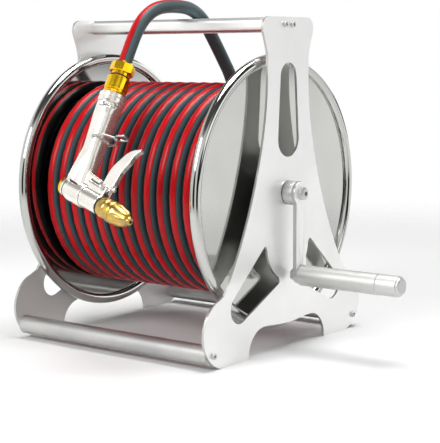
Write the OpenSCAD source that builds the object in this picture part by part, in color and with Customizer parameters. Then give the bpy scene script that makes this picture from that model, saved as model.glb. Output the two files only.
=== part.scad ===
// Hand-wound garden hose reel: two cut sheet-steel side plates, a carry bar and two base tubes hold a
// polished drum with a striped hose on it, a crank on the right and a water inlet on the left.
// The free end of the hose hangs over the carry bar and ends in a spray gun.
// Millimetres, +Z up, the floor at z = 0, the axle along X, the front towards -Y.

/* [Reel] */
// Diameter of the two discs over their rolled rims
disc_d = 320; // [290:1:350]
// Sheet thickness of the discs
disc_t = 1.5; // [1:0.1:2.2]
// Radius of the rolled rim bead
rim_r = 6.5; // [5:0.5:8]
// Diameter of the drum barrel under the hose
barrel_d = 140; // [125:1:160]
// Wall of the drum barrel
barrel_t = 2; // [1:0.1:3]
// Radius of the circle that the tie rods stand on
tie_circle_r = 25; // [24:1:34]
// Diameter of the tie rods
tie_d = 7; // [6:0.5:8]
// Diameter of the two spindles in their bushes
spindle_d = 22; // [20:0.5:24]
// Diameter of the water way through the left spindle
water_d = 12; // [8:0.5:14]

/* [Hose] */
// Outer diameter of the hose
hose_d = 16; // [13:0.5:18]
// Turns of hose in the outer layer
turns = 12.5; // [9:0.25:13]
// Gap between two neighbouring turns
turn_gap = 3; // [1:0.5:5]
// Radius of the outer layer, to the middle of the hose
wind_r = 118; // [110:1:122]

/* [Side plates] */
// Thickness of the side plates
plate_t = 3; // [2:0.5:5]
// Depth of a side plate over its two feet
plate_depth = 320; // [300:1:350]
// Radius of the rounded feet
foot_r = 39; // [36:1:42]
// Width of the head that the carry bar is screwed to
head_w = 101; // [92:1:110]
// Radius of the head's corners
head_r = 12; // [8:1:16]
// Width of the neck under the head
neck_w = 82; // [76:1:88]
// Radius of the slot's upper end
slot_top_r = 16; // [12:0.5:18]
// Radius of the slot's lower end
slot_low_r = 21; // [17:0.5:23]
// Height of the arch between the two feet
arch_h = 30; // [24:1:36]
// Width of the arch between the two feet
arch_w = 155; // [140:1:165]
// Radius of the rounded lower end of each side cut-out
cut_end_r = 17; // [12:0.5:18]

/* [Cross members] */
// Space between the disc rims and the side plates
rim_gap = 6.5; // [4:0.5:12]
// Space between the disc rims and the floor
floor_gap = 23; // [16:1:40]
// Space for the hand between the disc rims and the carry bar
hand_gap = 24; // [18:1:45]
// Depth of the carry bar
bar_w = 34; // [30:1:44]
// Height of the carry bar
bar_h = 17; // [14:1:22]
// Edge radius of the carry bar
bar_r = 6; // [3:0.5:6.5]
// Wall of the carry bar
bar_t = 2; // [1:0.1:3]
// Distance between the two screws at each end of the carry bar
bar_screw_gap = 15; // [12:0.5:20]
// Diameter of the base tubes
tube_d = 22; // [18:0.5:26]
// Wall of the base tubes
tube_t = 1.5; // [1:0.1:2.5]
// Diameter of the frame screws
screw_d = 4; // [3:0.5:6]

/* [Crank] */
// Distance from the axle to the grip's axis
crank_r = 95; // [80:1:110]
// Diameter of the crank hub
hub_d = 28; // [26:0.5:34]
// Length of the crank hub
hub_l = 13; // [12:0.5:20]
// Width of the crank arm
arm_w = 20; // [18:0.5:24]
// Thickness of the crank arm
arm_t = 5; // [4:0.5:8]
// Diameter of the grip
grip_d = 24; // [22:0.5:30]
// Length of the grip without its end cap
grip_l = 130; // [100:1:140]
// Diameter of the bolt that the grip turns on
grip_bolt_d = 10; // [8:0.5:12]

/* [Water inlet] */
// Outer diameter of the inlet's pipe thread
inlet_d = 26.44; // [20.96:0.01:33.25]
// Length of the inlet's pipe thread
inlet_l = 16; // [12:0.5:20]
// Outer diameter of the swivel housing
swivel_d = 36; // [34:0.5:42]
// Length of the swivel housing along the axle
swivel_l = 38; // [36:0.5:46]

/* [Spray gun] */
// How far the hanging gun leans out from upright, in degrees
gun_lean = 29; // [10:1:40]
// How far the gun's barrel droops below square to its handle, in degrees
barrel_droop = 17.5; // [5:0.5:25]
// Distance from the hose's end to the axis of the gun's barrel
gun_drop = 161.5; // [155:0.5:175]
// Diameter of the gun's barrel
gun_barrel_d = 22; // [21:0.5:26]
// Diameter of the water way through the gun's barrel
gun_bore_d = 14; // [14:0.5:15]
// Length of the gun's barrel behind the handle
gun_back_l = 22; // [21:0.5:28]
// Length of the gun's barrel in front of the handle
gun_front_l = 40; // [39:0.5:46]
// Waist diameter of the handle
handle_d = 23; // [21:0.5:25]
// Length of the hose nut
nut_l = 12.5; // [10:0.5:18]
// Diameter of the coupling sleeve
sleeve_d = 26.8; // [26:0.1:30]
// Length of the coupling sleeve
sleeve_l = 20; // [18:0.5:24]
// Diameter of the nozzle collar
collar_d = 24.5; // [24:0.5:30]
// Length of the nozzle collar
collar_l = 24; // [20:0.5:28]
// Length of the bullet-shaped nozzle tip
tip_l = 27; // [22:1:34]
// Thickness of the trigger
trigger_t = 7; // [6:0.5:8]
// Diameter of the wire of the trigger lock
wire_d = 2.4; // [1.6:0.1:3]

/* [Hidden] */
$fn = 64;

// Colours as the object shows them
steel = "gainsboro";
satin = "silver";
polished = "lightgray";
brass = "goldenrod";
nickel = "ivory";
black = "dimgray";
hose_red = "firebrick";

// Clearances: flat or soft faces that pass each other, a shaft in its bush, a bolt in its hole
gap = 0.3;
run_fit = 0.05;
hole_gap = 0.2;

// Heights and places along the axle, from the middle of the drum
axle_z = floor_gap + disc_d / 2;
turn_pitch = hose_d + turn_gap;
turn_side_gap = 0.5;
wind_slack = 4.5;
wind_w = turns * turn_pitch + hose_d + turn_side_gap + wind_slack;
disc_in = wind_w / 2;
disc_out = disc_in + disc_t;
plate_in = disc_in + disc_t / 2 + rim_r + rim_gap;
plate_out = plate_in + plate_t;
bar_z = axle_z + disc_d / 2 + hand_gap + bar_h / 2;
plate_h = bar_z + bar_h / 2;
hub_in = plate_out + 0.4;
arm_in = hub_in + hub_l;
arm_out = arm_in + arm_t;
grip_in = arm_out + gap;
grip_out = grip_in + grip_l;
cap_l = 3;
swivel_in = plate_out + 2;
swivel_out = swivel_in + swivel_l;

// Drum: flanges, bushes and spindles
spindle_r = spindle_d / 2;
flange_r = tie_circle_r + tie_d + 4;
flange_t = 3;
nut_t = 4;
tie_nut_d = tie_d * 1.85;
bush_r = hub_d / 2;
bush_flange_r = bush_r + 3;
bush_flange_t = 2;
shoulder_r = spindle_r + 4;
nose_l = 20;
elbow_wall = 3;
barb_r = hose_d * 3 / 8;
barb_l = 20;
hub_bore_r = 8;
crank_screw_r = 4;
crank_screw_l = 26;
crank_head_r = 7.4;
crank_head_h = 6.5;
grip_thread_r = 4;
grip_nut_t = 6.5;
grip_head_r = 8;
grip_head_t = 4;
grip_well_r = grip_head_r + 1;
grip_well_l = 8.3;
clip_r = spindle_r + 2.5;
clip_t = 1.2;
clip_groove = 1.2;
chamber_r = spindle_r + 3.5;
seal_r = 1.2;
hex_d = inlet_d + 8;
hex_h = 9;
hex_top = swivel_d / 2 + 3;
clip_x = swivel_in + swivel_l / 2 + gap;
inlet_x = (clip_x + clip_t + swivel_out - elbow_wall) / 2;
elbow_x = -disc_in + nose_l + 10;
seal_places = [swivel_in + swivel_l * 0.15, swivel_in + swivel_l * 0.35];
// The drum's middle lies beside the origin, which is midway between the inlet's and the grip's ends
mid_x = (max(swivel_out, inlet_x + hex_d / 2) - grip_out - cap_l) / 2;

// The wound layer: 24 rings of 6 sides to a turn, over a plain core of the layers below
wind_rings = 24;
wind_sides = 6;
core_r = (wind_r - hose_d / 2) * cos(180 / wind_rings) - gap;
core_half = disc_in - gap;
wind_start_a = 180;

// Route of the free hose from the gun over the carry bar and down behind the drum,
// from the middle of the drum and from the floor
hose_route = [
  [0, -117.7, 331.2], [0, -108.2, 348.3], [0, -98.6, 364.4], [0, -88.4, 377.4], [0, -78, 386.2],
  [0, -66, 392.8], [0, -53, 396.6], [0, -40, 398.2], [0, -27, 398.7], [0, -14, 398.4],
  [0, -0.7, 396.9], [0, 12.4, 392.7], [0, 24.4, 385.7], [0, 34.6, 376.5], [0, 45, 364.3],
  [0, 57.5, 349], [0, 70.5, 332.4], [0, 83, 315],
  [-5, 104, 284], [-15, 122, 250], [-30, 133, 214], [-48, 136, 178], [-68, 129, 137], [-88, 109, 101],
  [-106, 80, 72], [-115, 56, 58]];
hose_steps = 2;
hose_sides = 10;

// Side plate outline: the flank runs from the neck to the foot, both sides alike
foot_c = [plate_depth / 2 - foot_r, foot_r - 1];
neck_half = neck_w / 2;
neck_top_z = plate_h - 49;
neck_low_z = plate_h - 74;
flank_end = foot_c + [-3, foot_r + 9];
flank_sag = [flank_end[0] - 44, flank_end[1] + 64];
foot_join = foot_c + [4, foot_r + 1.5];
foot_join_a = 75;
arch_r = arch_h;
arch_c = [arch_w / 2 - arch_r, 3];
slot_top_z = plate_h - 51.6 - slot_top_r;
slot_low_z = axle_z + 41.5 + slot_low_r;
cut_inner_r = 42;
cut_inner_z = axle_z - 59;
cut_tip = [46, cut_inner_z - 2];
cut_tip_r = 3;
cut_end = foot_c + [-26.5, 23];
cut_heel = [20.8, foot_c[1] + 43.6];
cut_heel_r = 3.6;
cut_out_a = 51;
cut_low_a = -116.4;

// Frame screws, inserts and tubes
tube_y = foot_c[0] + 22.5;
tube_z = foot_c[1] - 21.7;
insert_l = 25;
screw_l = 20;
screw_head_h = 2.6;
screw_head_r = screw_d * 0.85;
socket_r = screw_d * 0.38;
socket_floor = 0.8;

// Spray gun: places along the handle are lengths down from the hose's end
gun_at = hose_route[0];
ring_r = 0.8;
body_r = sleeve_d / 2 - 2.6;
body_top = nut_l;
sleeve_travel = 3;
sleeve_top = body_top + sleeve_travel + 3.5;
seal_at = sleeve_top - 2;
sleeve_low = sleeve_top + sleeve_l;
collar_top = sleeve_low + 2;
inlet_collar_r = 15.6;
inlet_collar_l = 11;
handle_top = collar_top + inlet_collar_l;
handle_low = gun_drop - 6;
handle_r = handle_d / 2;
handle_head_r = handle_r + 3.3;
handle_way_r = 4.5;
saddle_r = gun_barrel_d / 2 + 1.8;
saddle_half = 12;
web_t = 14;
web_top = gun_drop - 46;
web_back = 17;
barrel_r = gun_barrel_d / 2;
bore_r = gun_bore_d / 2;
pivot = [gun_front_l - 5.5, barrel_r + 6.5];
pin_r = 1.5;
ear_t = 2.5;
ear_r = 5;
cheek_end = pivot[0] - ear_r - gap;
cheek_top = barrel_r + 16;
cheek_drop = 2.5;
cheek_w = trigger_t + 2 * (gap + ear_t);
channel_at = 14;
finger_w = 4;
finger_t = 5;
finger_tip = [pivot[0] - 6, bore_r - 1];
stem_r = 3;
stem_collar_r = bore_r - 0.5;
stem_collar_t = 2;
stem_collar_at = finger_tip[0] + finger_w / 2 + 0.4;
spigot_r = barrel_r - 2.5;
spigot_l = 8;
spring_end = gun_front_l + 1;
spring_r = stem_r + 2;
guide_gap = 0.5;
rear_wall = 3;
lock_at = [3, gun_drop - 65];
lock_reach = 37;
lock_half = handle_r + wire_d / 2 + 1.2;
lock_tip_half = trigger_t / 2 + wire_d / 2 + 0.9;
lock_bend = [11, 20];
lock_lift = 7;

// Curves: an arc's points, a cubic curve's points and a list turned about
function arc(c, r, from, to, n = 12) =
  [for (i = [0 : n]) let (a = from + (to - from) * i / n) c + r * [cos(a), sin(a)]];
function cubic_at(p, t) =
  pow(1 - t, 3) * p[0] + 3 * pow(1 - t, 2) * t * p[1] + 3 * (1 - t) * t * t * p[2] + t * t * t * p[3];
function cubic(p, n = 12) = [for (i = [0 : n]) cubic_at(p, i / n)];
function slope_at(p, t) = (cubic_at(p, t + 0.01) - cubic_at(p, t - 0.01)) / 0.02;
function mirrored(pts) = [for (i = [len(pts) - 1 : -1 : 0]) [-pts[i][0], pts[i][1]]];

// Tubes: a smooth route through chosen points, its directions and the faces of a swept tube
function unit(v) = v / norm(v);
function between(a, b, c, d, t) =
  0.5 * (2 * b + (c - a) * t + (2 * a - 5 * b + 4 * c - d) * t * t + (3 * b - a - 3 * c + d) * t * t * t);
function smooth(p, n) = let (last = len(p) - 1) concat(
  [for (i = [0 : last - 1], k = [0 : n - 1])
    between(p[max(i - 1, 0)], p[i], p[i + 1], p[min(i + 2, last)], k / n)], [p[last]]);
function heading(p, i) = unit(p[min(i + 1, len(p) - 1)] - p[max(i - 1, 0)]);
function tube_faces(rings, sides) = concat(
  [for (i = [0 : rings - 2], k = [0 : sides - 1]) let (a = i * sides + k, b = i * sides + (k + 1) % sides)
    [a, b + sides, b]],
  [for (i = [0 : rings - 2], k = [0 : sides - 1]) let (a = i * sides + k, b = i * sides + (k + 1) % sides)
    [a, a + sides, b + sides]],
  [for (k = [1 : sides - 2]) [0, k, k + 1]],
  [for (k = [1 : sides - 2]) let (e = (rings - 1) * sides) [e, e + k + 1, e + k]]);
function path_length(p) = len(p) < 2 ? 0 : [for (i = [0 : len(p) - 2]) norm(p[i + 1] - p[i])]
  * [for (i = [0 : len(p) - 2]) 1];

// The wound layer's middle line, with a straight end one hose diameter long at each side
function turn_a(k) = wind_start_a + 360 * k / wind_rings;
function turn_out(k) = [0, sin(turn_a(k)), cos(turn_a(k))];
function turn_dir(k) = [0, cos(turn_a(k)), -sin(turn_a(k))];
function turn_at(k) =
  [-disc_in + turn_side_gap + hose_d / 2 + turn_pitch * k / wind_rings, 0, 0] + wind_r * turn_out(k);
last_ring = round(turns * wind_rings);
wind_line = concat(
  [turn_at(0) - hose_d * turn_dir(0)],
  [for (k = [0 : last_ring]) turn_at(k)],
  [turn_at(last_ring) + hose_d * turn_dir(last_ring)]);
wind_outs = concat(
  [turn_out(0)], [for (k = [0 : last_ring]) turn_out(k)], [turn_out(last_ring)]);
self_gap = min([for (i = [0 : len(wind_line) - 1])
  min([for (j = [i + wind_rings / 2 : i + wind_rings * 3 / 2])
    j < len(wind_line) ? norm(wind_line[i] - wind_line[j]) : wind_w])]) - hose_d;
free_line = smooth(hose_route, hose_steps);
echo(winding_self_gap_mm = self_gap);
echo(winding_length_mm = path_length(wind_line), free_hose_length_mm = path_length(free_line));

// Frames that the pieces are drawn in
module from_floor() { translate([mid_x, 0, 0]) children(); }
module from_axle() { translate([mid_x, 0, axle_z]) children(); }
module along_x(x = 0, y = 0, z = 0) { translate([x, y, z]) rotate([90, 0, 90]) children(); }
module spun_x() { rotate([0, 90, 0]) rotate_extrude() children(); }
module gun_frame() { from_floor() translate(gun_at) rotate([-gun_lean, 0, 0]) children(); }
module barrel_frame() { gun_frame() translate([0, 0, -gun_drop]) rotate([0, barrel_droop, 0]) children(); }
module both_sides() {
  children();
  mirror([1, 0, 0]) children();
}
// A round bar or hole along X from one place to another
module bar_x(from, to, r) { translate([from, 0, 0]) rotate([0, 90, 0]) cylinder(r = r, h = to - from); }
module ring_x(from, to, r, bore) {
  difference() {
    bar_x(from, to, r);
    bar_x(from - 1, to + 1, bore);
  }
}
// A hexagon bar along X
module hex_x(from, to, across) {
  translate([from, 0, 0]) rotate([0, 90, 0]) cylinder(d = across / cos(30), h = to - from, $fn = 6);
}
// A round bar across the gun
module cross_bar(t, p, r, from, to) {
  translate([t, from, p]) rotate([-90, 0, 0]) cylinder(r = r, h = to - from);
}
module swept(line, sides, r, outs, sideways) {
  pts = [for (i = [0 : len(line) - 1], k = [0 : sides - 1]) let (a = 360 * k / sides + 180)
    line[i] + r * (cos(a) * outs[i] + sin(a) * sideways[i])];
  polyhedron(points = pts, faces = tube_faces(len(line), sides));
}

// Side plates
module plate_outline() {
  half = concat(
    [[0, plate_h]],
    arc([head_w / 2 - head_r, plate_h - head_r], head_r, 90, -20),
    cubic([[head_w / 2 - head_r * 0.06, plate_h - head_r * 1.34 - 1], [head_w / 2 - 4, plate_h - 26],
      [neck_half, neck_top_z + 12], [neck_half, neck_top_z]], 8),
    cubic([[neck_half, neck_low_z], [neck_half + 1, neck_low_z - 65], flank_sag, flank_end], 14),
    [foot_join - [3, -1.5]],
    arc(foot_c, foot_r, foot_join_a, -asin(foot_c[1] / foot_r), 24),
    [[arch_w / 2, 0]],
    arc(arch_c, arch_r, 0, 85, 12),
    cubic([arch_c + [0, arch_r], arch_c + [-17, arch_r], [20, arch_h], [0, arch_h]], 6));
  lower = [for (i = [1 : len(half) - 2]) half[i]];
  polygon(concat(half, mirrored(lower)));
}
module slot_outline() {
  lean = asin((slot_low_r - slot_top_r) / (slot_top_z - slot_low_z));
  polygon(concat(
    arc([0, slot_top_z], slot_top_r, lean, 180 - lean, 16),
    arc([0, slot_low_z], slot_low_r, 180 - lean, 360 + lean, 20)));
}
module cut_outline() {
  polygon(concat(
    arc(cut_heel, cut_heel_r, cut_low_a, -230, 6),
    arc([0, cut_inner_z], cut_inner_r, -63, -5, 10),
    arc(cut_tip, cut_tip_r, 170, cut_out_a, 6),
    arc(cut_end, cut_end_r, cut_out_a, cut_low_a, 16)));
}
module side_plate() {
  from_floor() along_x(plate_in) linear_extrude(plate_t) difference() {
    plate_outline();
    slot_outline();
    cut_outline();
    mirror([1, 0]) cut_outline();
    translate([0, axle_z]) circle(bush_r);
    for (s = [-1, 1]) {
      translate([s * tube_y, tube_z]) circle(screw_d / 2 + hole_gap);
      translate([s * bar_screw_gap / 2, bar_z]) circle(screw_d / 2 + hole_gap);
    }
  }
}
module right_side_plate() { color(steel) side_plate(); }
module left_side_plate() { color(steel) mirror_drum() side_plate(); }
// Mirror about the drum's middle plane
module mirror_drum() { translate([2 * mid_x, 0, 0]) mirror([1, 0, 0]) children(); }

// Carry bar and base tubes
module bar_section(inset) {
  w = bar_w / 2 - bar_r;
  h = bar_h / 2 - bar_r;
  square([bar_w - 2 * inset, 2 * h], center = true);
  square([2 * w, bar_h - 2 * inset], center = true);
  for (y = [-w, w], z = [-h, h]) translate([y, z]) circle(bar_r - inset);
}
module carry_bar() {
  color(satin) from_floor() along_x(-plate_in, 0, bar_z) linear_extrude(2 * plate_in) difference() {
    bar_section(0);
    bar_section(bar_t);
  }
}
module carry_bar_blocks() {
  color(satin) from_floor() both_sides() along_x(plate_in - insert_l, 0, bar_z) linear_extrude(insert_l)
    difference() {
      bar_section(bar_t);
      for (s = [-1, 1]) translate([s * bar_screw_gap / 2, 0]) circle(screw_d / 2);
    }
}
module base_tube(y) {
  color(satin) from_floor() translate([0, y, tube_z])
    ring_x(-plate_in, plate_in, tube_d / 2, tube_d / 2 - tube_t);
}
module front_base_tube() { base_tube(-tube_y); }
module rear_base_tube() { base_tube(tube_y); }
module base_tube_inserts() {
  color(satin) from_floor() both_sides() for (y = [-tube_y, tube_y]) translate([0, y, tube_z])
    ring_x(plate_in - insert_l, plate_in, tube_d / 2 - tube_t, screw_d / 2);
}
// A low-headed socket screw through a side plate
module frame_screw() {
  difference() {
    union() {
      bar_x(plate_out - screw_l, plate_out + 0.5, screw_d / 2);
      bar_x(plate_out, plate_out + screw_head_h, screw_head_r);
    }
    hex_x(plate_out + socket_floor, plate_out + screw_head_h + 1, 2 * socket_r);
  }
}
module base_tube_screws() {
  color(satin) from_floor() both_sides() for (y = [-tube_y, tube_y]) translate([0, y, tube_z]) frame_screw();
}
module carry_bar_screws() {
  color(satin) from_floor() both_sides() for (s = [-1, 1]) translate([0, s * bar_screw_gap / 2, bar_z])
    frame_screw();
}
module bush() {
  from_axle() {
    ring_x(plate_in - bush_flange_t, plate_in, bush_flange_r, spindle_r + run_fit);
    ring_x(plate_in, plate_out, bush_r, spindle_r + run_fit);
  }
}
module right_bush() { color(black) bush(); }
module left_bush() { color(black) mirror_drum() bush(); }

// Drum
module tie_places() {
  for (y = [-1, 1], z = [-1, 1]) translate([0, y * tie_circle_r / sqrt(2), z * tie_circle_r / sqrt(2)])
    children();
}
module disc() {
  rim_c = disc_d / 2 - rim_r;
  sheet_r = rim_c - rim_r + disc_t / 2;
  from_axle() difference() {
    translate([disc_in, 0, 0]) spun_x() {
      translate([spindle_r + hole_gap, 0]) square([sheet_r - spindle_r - hole_gap, disc_t]);
      translate([rim_c, disc_t / 2]) difference() {
        circle(rim_r);
        circle(rim_r - disc_t);
      }
    }
    tie_places() bar_x(disc_in - 1, disc_out + 1, tie_d / 2 + hole_gap);
  }
}
module right_disc() { color(polished) disc(); }
module left_disc() { color(polished) mirror_drum() disc(); }
module drum_barrel() {
  color(satin) from_axle() difference() {
    ring_x(-disc_in, disc_in, barrel_d / 2, barrel_d / 2 - barrel_t);
    translate([elbow_x, 0, 0]) cylinder(r = hose_d / 2 + hole_gap, h = barrel_d);
  }
}
// The flange and shaft that both spindles share, on the right side
module spindle_flange() {
  difference() {
    union() {
      bar_x(disc_out, disc_out + flange_t, flange_r);
      bar_x(disc_out, plate_in - bush_flange_t - gap, shoulder_r);
      bar_x(disc_in - nose_l, plate_out, spindle_r);
    }
    tie_places() bar_x(disc_in - 1, disc_out + flange_t + 1, tie_d / 2 + hole_gap);
  }
}
module crank_spindle() {
  color(satin) from_axle() difference() {
    union() {
      spindle_flange();
      bar_x(plate_out, arm_in, hub_bore_r);
    }
    bar_x(arm_out - crank_screw_l, arm_in + 1, crank_screw_r);
  }
}
module water_spindle() {
  color(brass) mirror_drum() from_axle() difference() {
    union() {
      spindle_flange();
      bar_x(plate_out, clip_x + clip_t + 2, spindle_r);
    }
    bar_x(disc_in - nose_l - 1, swivel_out, water_d / 2);
    ring_x(clip_x, clip_x + clip_t, spindle_r + 1, spindle_r - clip_groove);
  }
}
module swivel_clip() {
  color(satin) mirror_drum() from_axle() ring_x(clip_x, clip_x + clip_t, clip_r, spindle_r - clip_groove);
}
module tie_rods() {
  color(satin) from_axle() tie_places()
    bar_x(-disc_out - flange_t - nut_t, disc_out + flange_t + nut_t, tie_d / 2);
}
module tie_rod_nuts() {
  color(satin) from_axle() both_sides() tie_places() difference() {
    hex_x(disc_out + flange_t, disc_out + flange_t + nut_t, tie_nut_d);
    bar_x(disc_out, disc_out + flange_t + nut_t + 1, tie_d / 2);
  }
}
module outlet_elbow() {
  color(brass) from_axle() difference() {
    union() {
      bar_x(-disc_in + 4, elbow_x + spindle_r, spindle_r + elbow_wall);
      translate([elbow_x, 0, 0]) cylinder(r = hose_d / 2 + 1, h = barrel_d / 2 - barrel_t - 4);
      translate([elbow_x, 0, 0]) cylinder(r = barb_r, h = barrel_d / 2 + barb_l);
    }
    bar_x(-disc_in, -disc_in + nose_l, spindle_r);
    bar_x(-disc_in, elbow_x + water_d / 4, water_d / 2);
    translate([elbow_x, 0, 0]) cylinder(r = barb_r - 1.5, h = barrel_d);
  }
}

// Wound hose
module hose_core() {
  color("maroon") from_axle() difference() {
    ring_x(-core_half, core_half, core_r, barrel_d / 2 + hole_gap);
    translate([elbow_x, 0, 0]) cylinder(r = barb_r + hole_gap, h = barrel_d / 2 + barb_l + gap);
  }
}
module hose_winding() {
  color(hose_red) from_axle()
    swept(wind_line, wind_sides, hose_d / 2, wind_outs, [for (p = wind_line) [1, 0, 0]]);
}

// Crank
module crank_hub() { color(satin) from_axle() ring_x(hub_in, arm_in, hub_d / 2, hub_bore_r); }
module crank_arm() {
  color(satin) from_axle() along_x(arm_in) linear_extrude(arm_t) difference() {
    union() {
      circle(hub_d / 2);
      translate([-arm_w / 2, -crank_r]) square([arm_w, crank_r]);
      translate([0, -crank_r]) circle(arm_w / 2);
    }
    circle(crank_screw_r + hole_gap);
    translate([0, -crank_r]) circle(grip_thread_r + hole_gap);
  }
}
// A domed socket screw that holds the crank on its spindle
module crank_screw() {
  color(satin) from_axle() difference() {
    union() {
      bar_x(arm_out - crank_screw_l + 2, arm_out + 1, crank_screw_r);
      translate([arm_out, 0, 0]) spun_x() intersection() {
        translate([0, -crank_head_r * 0.6]) circle(crank_head_r * 1.5);
        square([crank_head_r, crank_head_h]);
      }
    }
    hex_x(arm_out + crank_head_h - 4, arm_out + crank_head_h + 1, crank_screw_r * 1.25);
  }
}
module at_grip() { from_axle() translate([0, 0, -crank_r]) children(); }
module grip_bolt() {
  color(satin) at_grip() {
    bar_x(arm_in - grip_nut_t, arm_out, grip_thread_r);
    bar_x(arm_out, grip_out - grip_well_l + gap, grip_bolt_d / 2);
    bar_x(grip_out - grip_well_l + gap, grip_out - grip_well_l + gap + grip_head_t, grip_head_r);
  }
}
module grip_nut() {
  color(satin) at_grip() difference() {
    hex_x(arm_in - grip_nut_t, arm_in, grip_thread_r * 3.25);
    bar_x(arm_in - grip_nut_t - 1, arm_in + 1, grip_thread_r);
  }
}
module crank_grip() {
  edge = 1.5;
  line = 0.6;
  color(satin) at_grip() translate([grip_in, 0, 0]) spun_x() {
    r = grip_d / 2;
    b = grip_bolt_d / 2 + run_fit;
    polygon(concat(
      [[b, 0]],
      arc([r - edge, edge], edge, -90, 0, 6),
      [[r, grip_l * 0.8 - line], [r - line, grip_l * 0.8], [r, grip_l * 0.8 + line]],
      arc([r - edge, grip_l - edge], edge, 0, 90, 6),
      [[grip_well_r, grip_l], [grip_well_r, grip_l - grip_well_l], [b, grip_l - grip_well_l]]));
  }
}
module grip_cap() {
  color(black) at_grip() translate([grip_out, 0, 0]) spun_x() polygon(concat(
    [[0, -grip_well_l + gap + grip_head_t + 1], [grip_well_r, -grip_well_l + gap + grip_head_t + 1],
      [grip_well_r, 0], [grip_d / 2 - 1.5, 0]],
    arc([grip_d / 2 - 1.5 - cap_l, 0], cap_l, 0, 90, 6), [[0, cap_l]]));
}

// Water inlet: a swivel housing on the left spindle with its pipe thread pointing down
module inlet_elbow() {
  neck_r = inlet_d / 2 - 2;
  color(brass) mirror_drum() from_axle() difference() {
    union() {
      bar_x(swivel_in, swivel_out, swivel_d / 2);
      translate([inlet_x, 0, -hex_top - hex_h - inlet_l]) {
        cylinder(d = inlet_d, h = inlet_l);
        translate([0, 0, inlet_l]) cylinder(d = hex_d, h = hex_h, $fn = 6);
        translate([0, 0, inlet_l]) cylinder(r = neck_r, h = hex_top + hex_h);
      }
    }
    bar_x(swivel_in - 1, clip_x, spindle_r + run_fit);
    bar_x(clip_x - gap, swivel_out - elbow_wall, chamber_r);
    for (x = seal_places) bar_x(x - seal_r, x + seal_r, spindle_r + run_fit + 2 * seal_r);
    translate([inlet_x, 0, -hex_top - hex_h - inlet_l - 1])
      cylinder(r = neck_r - elbow_wall, h = hex_top + hex_h + inlet_l);
  }
}
module swivel_seals() {
  color(black) mirror_drum() from_axle() for (x = seal_places) translate([x, 0, 0]) spun_x()
    translate([spindle_r + seal_r + run_fit, 0]) circle(seal_r);
}

// Free hose
module free_hose() {
  sideways = [for (i = [0 : len(free_line) - 1]) unit(cross(heading(free_line, i), [1, 0, 0]))];
  outs = [for (i = [0 : len(free_line) - 1]) cross(sideways[i], heading(free_line, i))];
  color(hose_red) from_floor() swept(free_line, hose_sides, hose_d / 2, outs, sideways);
}

// Hose coupling and spray gun, lengths down the handle
module down(s) { gun_frame() translate([0, 0, -s]) children(); }
module hose_nut() {
  r = sleeve_d / 2 + 0.8;
  color(brass) down(nut_l) difference() {
    intersection() {
      cylinder(r = r, h = nut_l, $fn = 8);
      rotate_extrude() polygon([[0, 0], [r - 1.4, 0], [r, 1.4], [r, nut_l - 3], [r - 3, nut_l], [0, nut_l]]);
    }
    translate([0, 0, -1]) cylinder(r = handle_way_r, h = nut_l + 2);
  }
}
module coupling_body() {
  color(brass) gun_frame() rotate_extrude() difference() {
    translate([handle_way_r, -collar_top]) square([body_r - handle_way_r, collar_top - body_top]);
    translate([body_r, -seal_at]) circle(ring_r);
  }
}
module coupling_seal() {
  color(black) gun_frame() translate([0, 0, -seal_at]) rotate_extrude() translate([body_r, 0])
    circle(ring_r);
}
module coupling_sleeve() {
  r = sleeve_d / 2;
  color(brass) gun_frame() rotate_extrude() polygon([
    [body_r + ring_r + gap, -sleeve_top], [r - 0.8, -sleeve_top], [r, -sleeve_top - 0.8],
    [r, -sleeve_low + 5], [r - 0.7, -sleeve_low + 4], [r - 0.7, -sleeve_low + 2.5], [r, -sleeve_low + 1.5],
    [r - 1, -sleeve_low], [body_r + run_fit, -sleeve_low], [body_r + run_fit, -sleeve_low + 6],
    [body_r + ring_r + gap, -sleeve_low + 6]]);
}
module gun_inlet_collar() {
  r = inlet_collar_r;
  color(nickel) gun_frame() rotate_extrude() polygon([
    [handle_way_r, -collar_top], [r, -collar_top], [r, -collar_top - 3.5], [r - 0.8, -collar_top - 4.2],
    [r, -collar_top - 5], [r, -handle_top + 1.5], [handle_head_r, -handle_top], [handle_way_r, -handle_top]]);
}
// Handle radius at a share of its length: full under the collar, slimmer towards the barrel
handle_curve = [[handle_head_r, 0], [handle_r, 0.36], [handle_r + 0.3, 0.72], [handle_r - 1, 1]];
module gun_handle() {
  length = handle_low - handle_top;
  color(nickel) difference() {
    union() {
      gun_frame() rotate_extrude() polygon(concat(
        [for (q = cubic(handle_curve, 14)) [q[0], -handle_top - length * q[1]]],
        [[0, -handle_low], [0, -handle_top]]));
      barrel_frame() bar_x(-saddle_half, saddle_half, saddle_r);
      gun_frame() across_gun(web_t) polygon(concat(
        cubic([[-handle_r + 2, -web_top], [-handle_r + 0.5, -web_top - 16], [-handle_r - 4, -gun_drop + 21],
          [-web_back, -gun_drop + 17]], 10),
        [[-web_back, -gun_drop + 10], [0, -gun_drop + 10], [0, -web_top]]));
      barrel_frame() across_gun(cheek_w) polygon([[0, 0], [0, cheek_top],
        [cheek_end - 6, cheek_top - cheek_drop], [cheek_end, pivot[1]], [cheek_end, 0]]);
    }
    barrel_frame() translate([channel_at, -trigger_t / 2 - gap, 0])
      cube([cheek_end, trigger_t + 2 * gap, 2 * cheek_top]);
    barrel_frame() bar_x(-saddle_half - 20, saddle_half + 20, barrel_r);
    down(gun_drop) cylinder(r = handle_way_r, h = gun_drop);
    gun_frame() translate([lock_at[0], 0, -lock_at[1]]) rotate([90, 0, 0])
      cylinder(r = wire_d / 2 + run_fit, h = 4 * handle_r, center = true);
  }
}
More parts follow.
